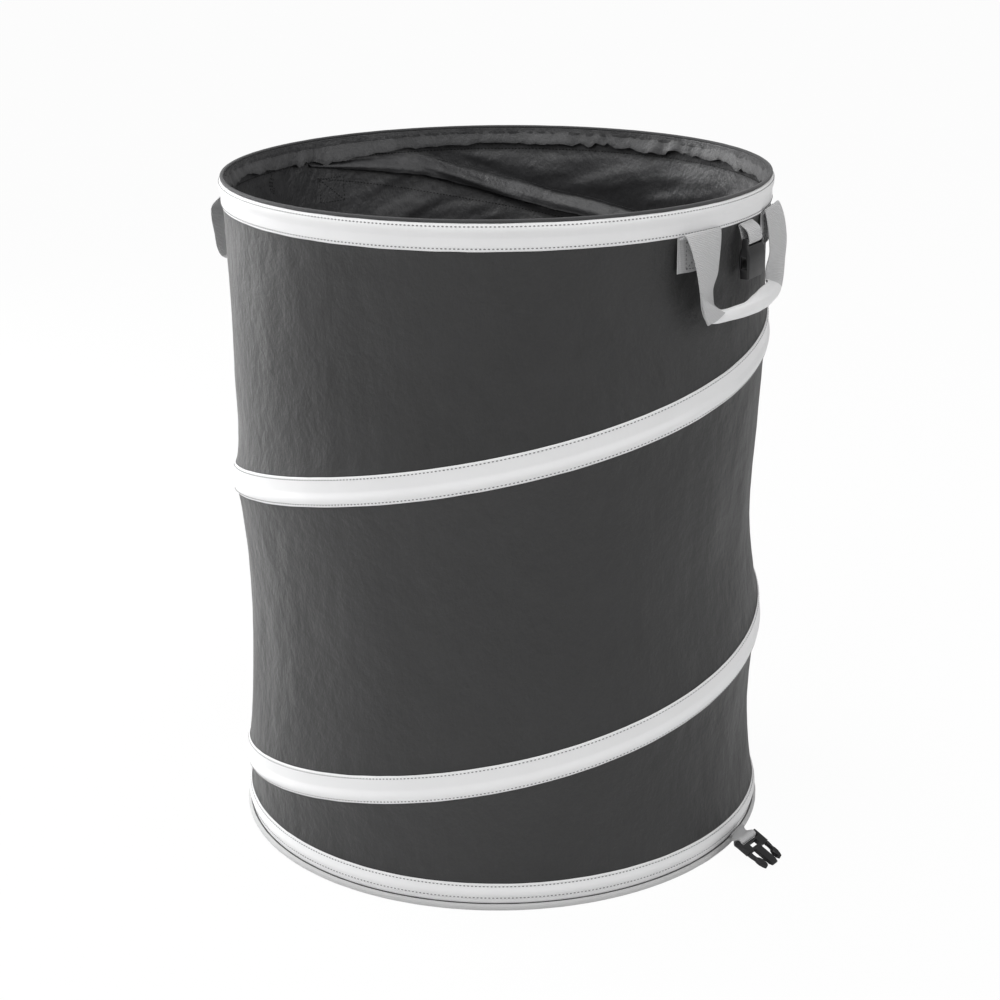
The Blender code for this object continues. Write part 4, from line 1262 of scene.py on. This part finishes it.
class LEAFBAG_OT_stage(bpy.types.Operator):
    """Set the camera at the photograph's place, a white floor and soft studio light."""

    bl_idname = "leafbag.stage"
    bl_label = "Stage"

    def execute(self, context):
        self.camera(context)
        self.floor()
        self.world(context)
        self.lamps()
        context.scene.view_settings.view_transform = "Standard"
        return {"FINISHED"}

    def camera(self, context):
        data = bpy.data.cameras.new("camera")
        data.sensor_width = SENSOR
        data.lens = SENSOR * LENS
        data.clip_end = 100.0
        camera = bpy.data.objects.new("camera", data)
        place = Matrix.Rotation(radians(CAMERA_AZIMUTH), 4, "Z")
        place = place @ Matrix.Translation((CAMERA_ASIDE, -CAMERA_AWAY, CAMERA_HEIGHT))
        place = place @ Matrix.Rotation(pi / 2 - radians(CAMERA_PITCH), 4, "X")
        camera.matrix_world = place @ Matrix.Rotation(radians(CAMERA_ROLL), 4, "Z")
        context.collection.objects.link(camera)
        context.scene.camera = camera

    def floor(self):
        """A white floor that looks white to the camera and still takes shadows."""
        mesh = bpy.data.meshes.new("floor")
        corners = ((-1, -1), (1, -1), (1, 1), (-1, 1))
        corners = [(x * FLOOR_REACH, y * FLOOR_REACH, FLOOR_HEIGHT) for x, y in corners]
        mesh.from_pydata(corners, [], [(0, 1, 2, 3)])
        paint = Paint("white floor", (FLOOR_WHITE,) * 3, 0.9)
        glow = paint.add("ShaderNodeEmission", strength=1.0)
        seen = paint.math("MULTIPLY", paint.add("ShaderNodeLightPath").outputs["Is Camera Ray"], FLOOR_GLOW)
        mix = paint.mixed(seen, paint.shader.outputs[0], glow.outputs[0])
        paint.join(mix, paint.tree.nodes["Material Output"].inputs["Surface"])
        put("floor", mesh, "white floor")

    def world(self, context):
        """A white background whose light on the bag is weaker than it looks."""
        world = bpy.data.worlds.new("studio")
        world.use_nodes = True
        world.node_tree.nodes.clear()
        studio = Nodes(world.node_tree)
        path = studio.add("ShaderNodeLightPath")
        seen = studio.math("MAXIMUM", path.outputs["Is Camera Ray"], path.outputs["Is Transmission Ray"])
        lights = []
        for strength in (WORLD_LIGHT, 1.0):
            light = studio.add("ShaderNodeBackground", strength=strength)
            light.inputs["Color"].default_value = (1, 1, 1, 1)
            lights.append(light.outputs[0])
        mix = studio.mixed(seen, *lights)
        studio.join(mix, studio.add("ShaderNodeOutputWorld").inputs["Surface"])
        context.scene.world = world

    def lamps(self):
        """A tall light on the left that skims the wall, a key from the front left, a fill and a top light."""
        for name, azimuth, elevation, away, size, power in (
            ("left", -88, 20, 2.2, 1.5, 40),
            ("key", -6, 48, 2.6, 1.5, 22),
            ("fill", 100, 24, 2.8, 1.6, 14),
            ("top", 20, 80, 2.4, 1.0, 15),
        ):
            data = bpy.data.lights.new(name, "AREA")
            data.size = size
            data.energy = power
            lamp = bpy.data.objects.new(name, data)
            a, e = radians(azimuth), radians(elevation)
            spot = Vector((sin(a) * cos(e), -cos(a) * cos(e), sin(e))) * away
            lamp.location = spot + Vector((0, 0, HEIGHT / 2))
            lamp.rotation_euler = (-spot).to_track_quat("-Z", "Y").to_euler()
            bpy.context.collection.objects.link(lamp)


class LEAFBAG_PT_panel(bpy.types.Panel):
    """Shows the bag's sizes and colours, and buttons for its operators, in the sidebar."""

    bl_idname = "LEAFBAG_PT_panel"
    bl_label = "Leaf Bag"
    bl_space_type = "VIEW_3D"
    bl_region_type = "UI"
    bl_category = "Leaf Bag"

    def draw(self, context):
        layout = self.layout
        for group in (context.scene.leaf_bag_sizes, context.scene.leaf_bag_colours):
            box = layout.box()
            for name in group.bl_rna.properties.keys():
                if name not in ("rna_type", "name"):
                    box.prop(group, name)
        for operator in OPERATORS:
            layout.operator(operator.bl_idname)


OPERATORS = (
    LEAFBAG_OT_stage,
    LEAFBAG_OT_wall,
    LEAFBAG_OT_spiral,
    LEAFBAG_OT_foot,
    LEAFBAG_OT_rim,
    LEAFBAG_OT_wires,
    LEAFBAG_OT_handles,
    LEAFBAG_OT_loops,
    LEAFBAG_OT_buckles,
)
CLASSES = (BagSizes, BagColours, *OPERATORS, LEAFBAG_PT_panel)


def register():
    for each in CLASSES:
        bpy.utils.register_class(each)
    bpy.types.Scene.leaf_bag_sizes = PointerProperty(type=BagSizes)
    bpy.types.Scene.leaf_bag_colours = PointerProperty(type=BagColours)


def unregister():
    del bpy.types.Scene.leaf_bag_sizes
    del bpy.types.Scene.leaf_bag_colours
    for each in reversed(CLASSES):
        bpy.utils.unregister_class(each)


def main():
    register()
    bpy.ops.leafbag.stage()
    bpy.ops.leafbag.wall()
    bpy.ops.leafbag.spiral()
    bpy.ops.leafbag.foot()
    bpy.ops.leafbag.rim()
    bpy.ops.leafbag.wires()
    bpy.ops.leafbag.handles()
    bpy.ops.leafbag.loops()
    bpy.ops.leafbag.buckles()


if __name__ == "__main__":
    main()
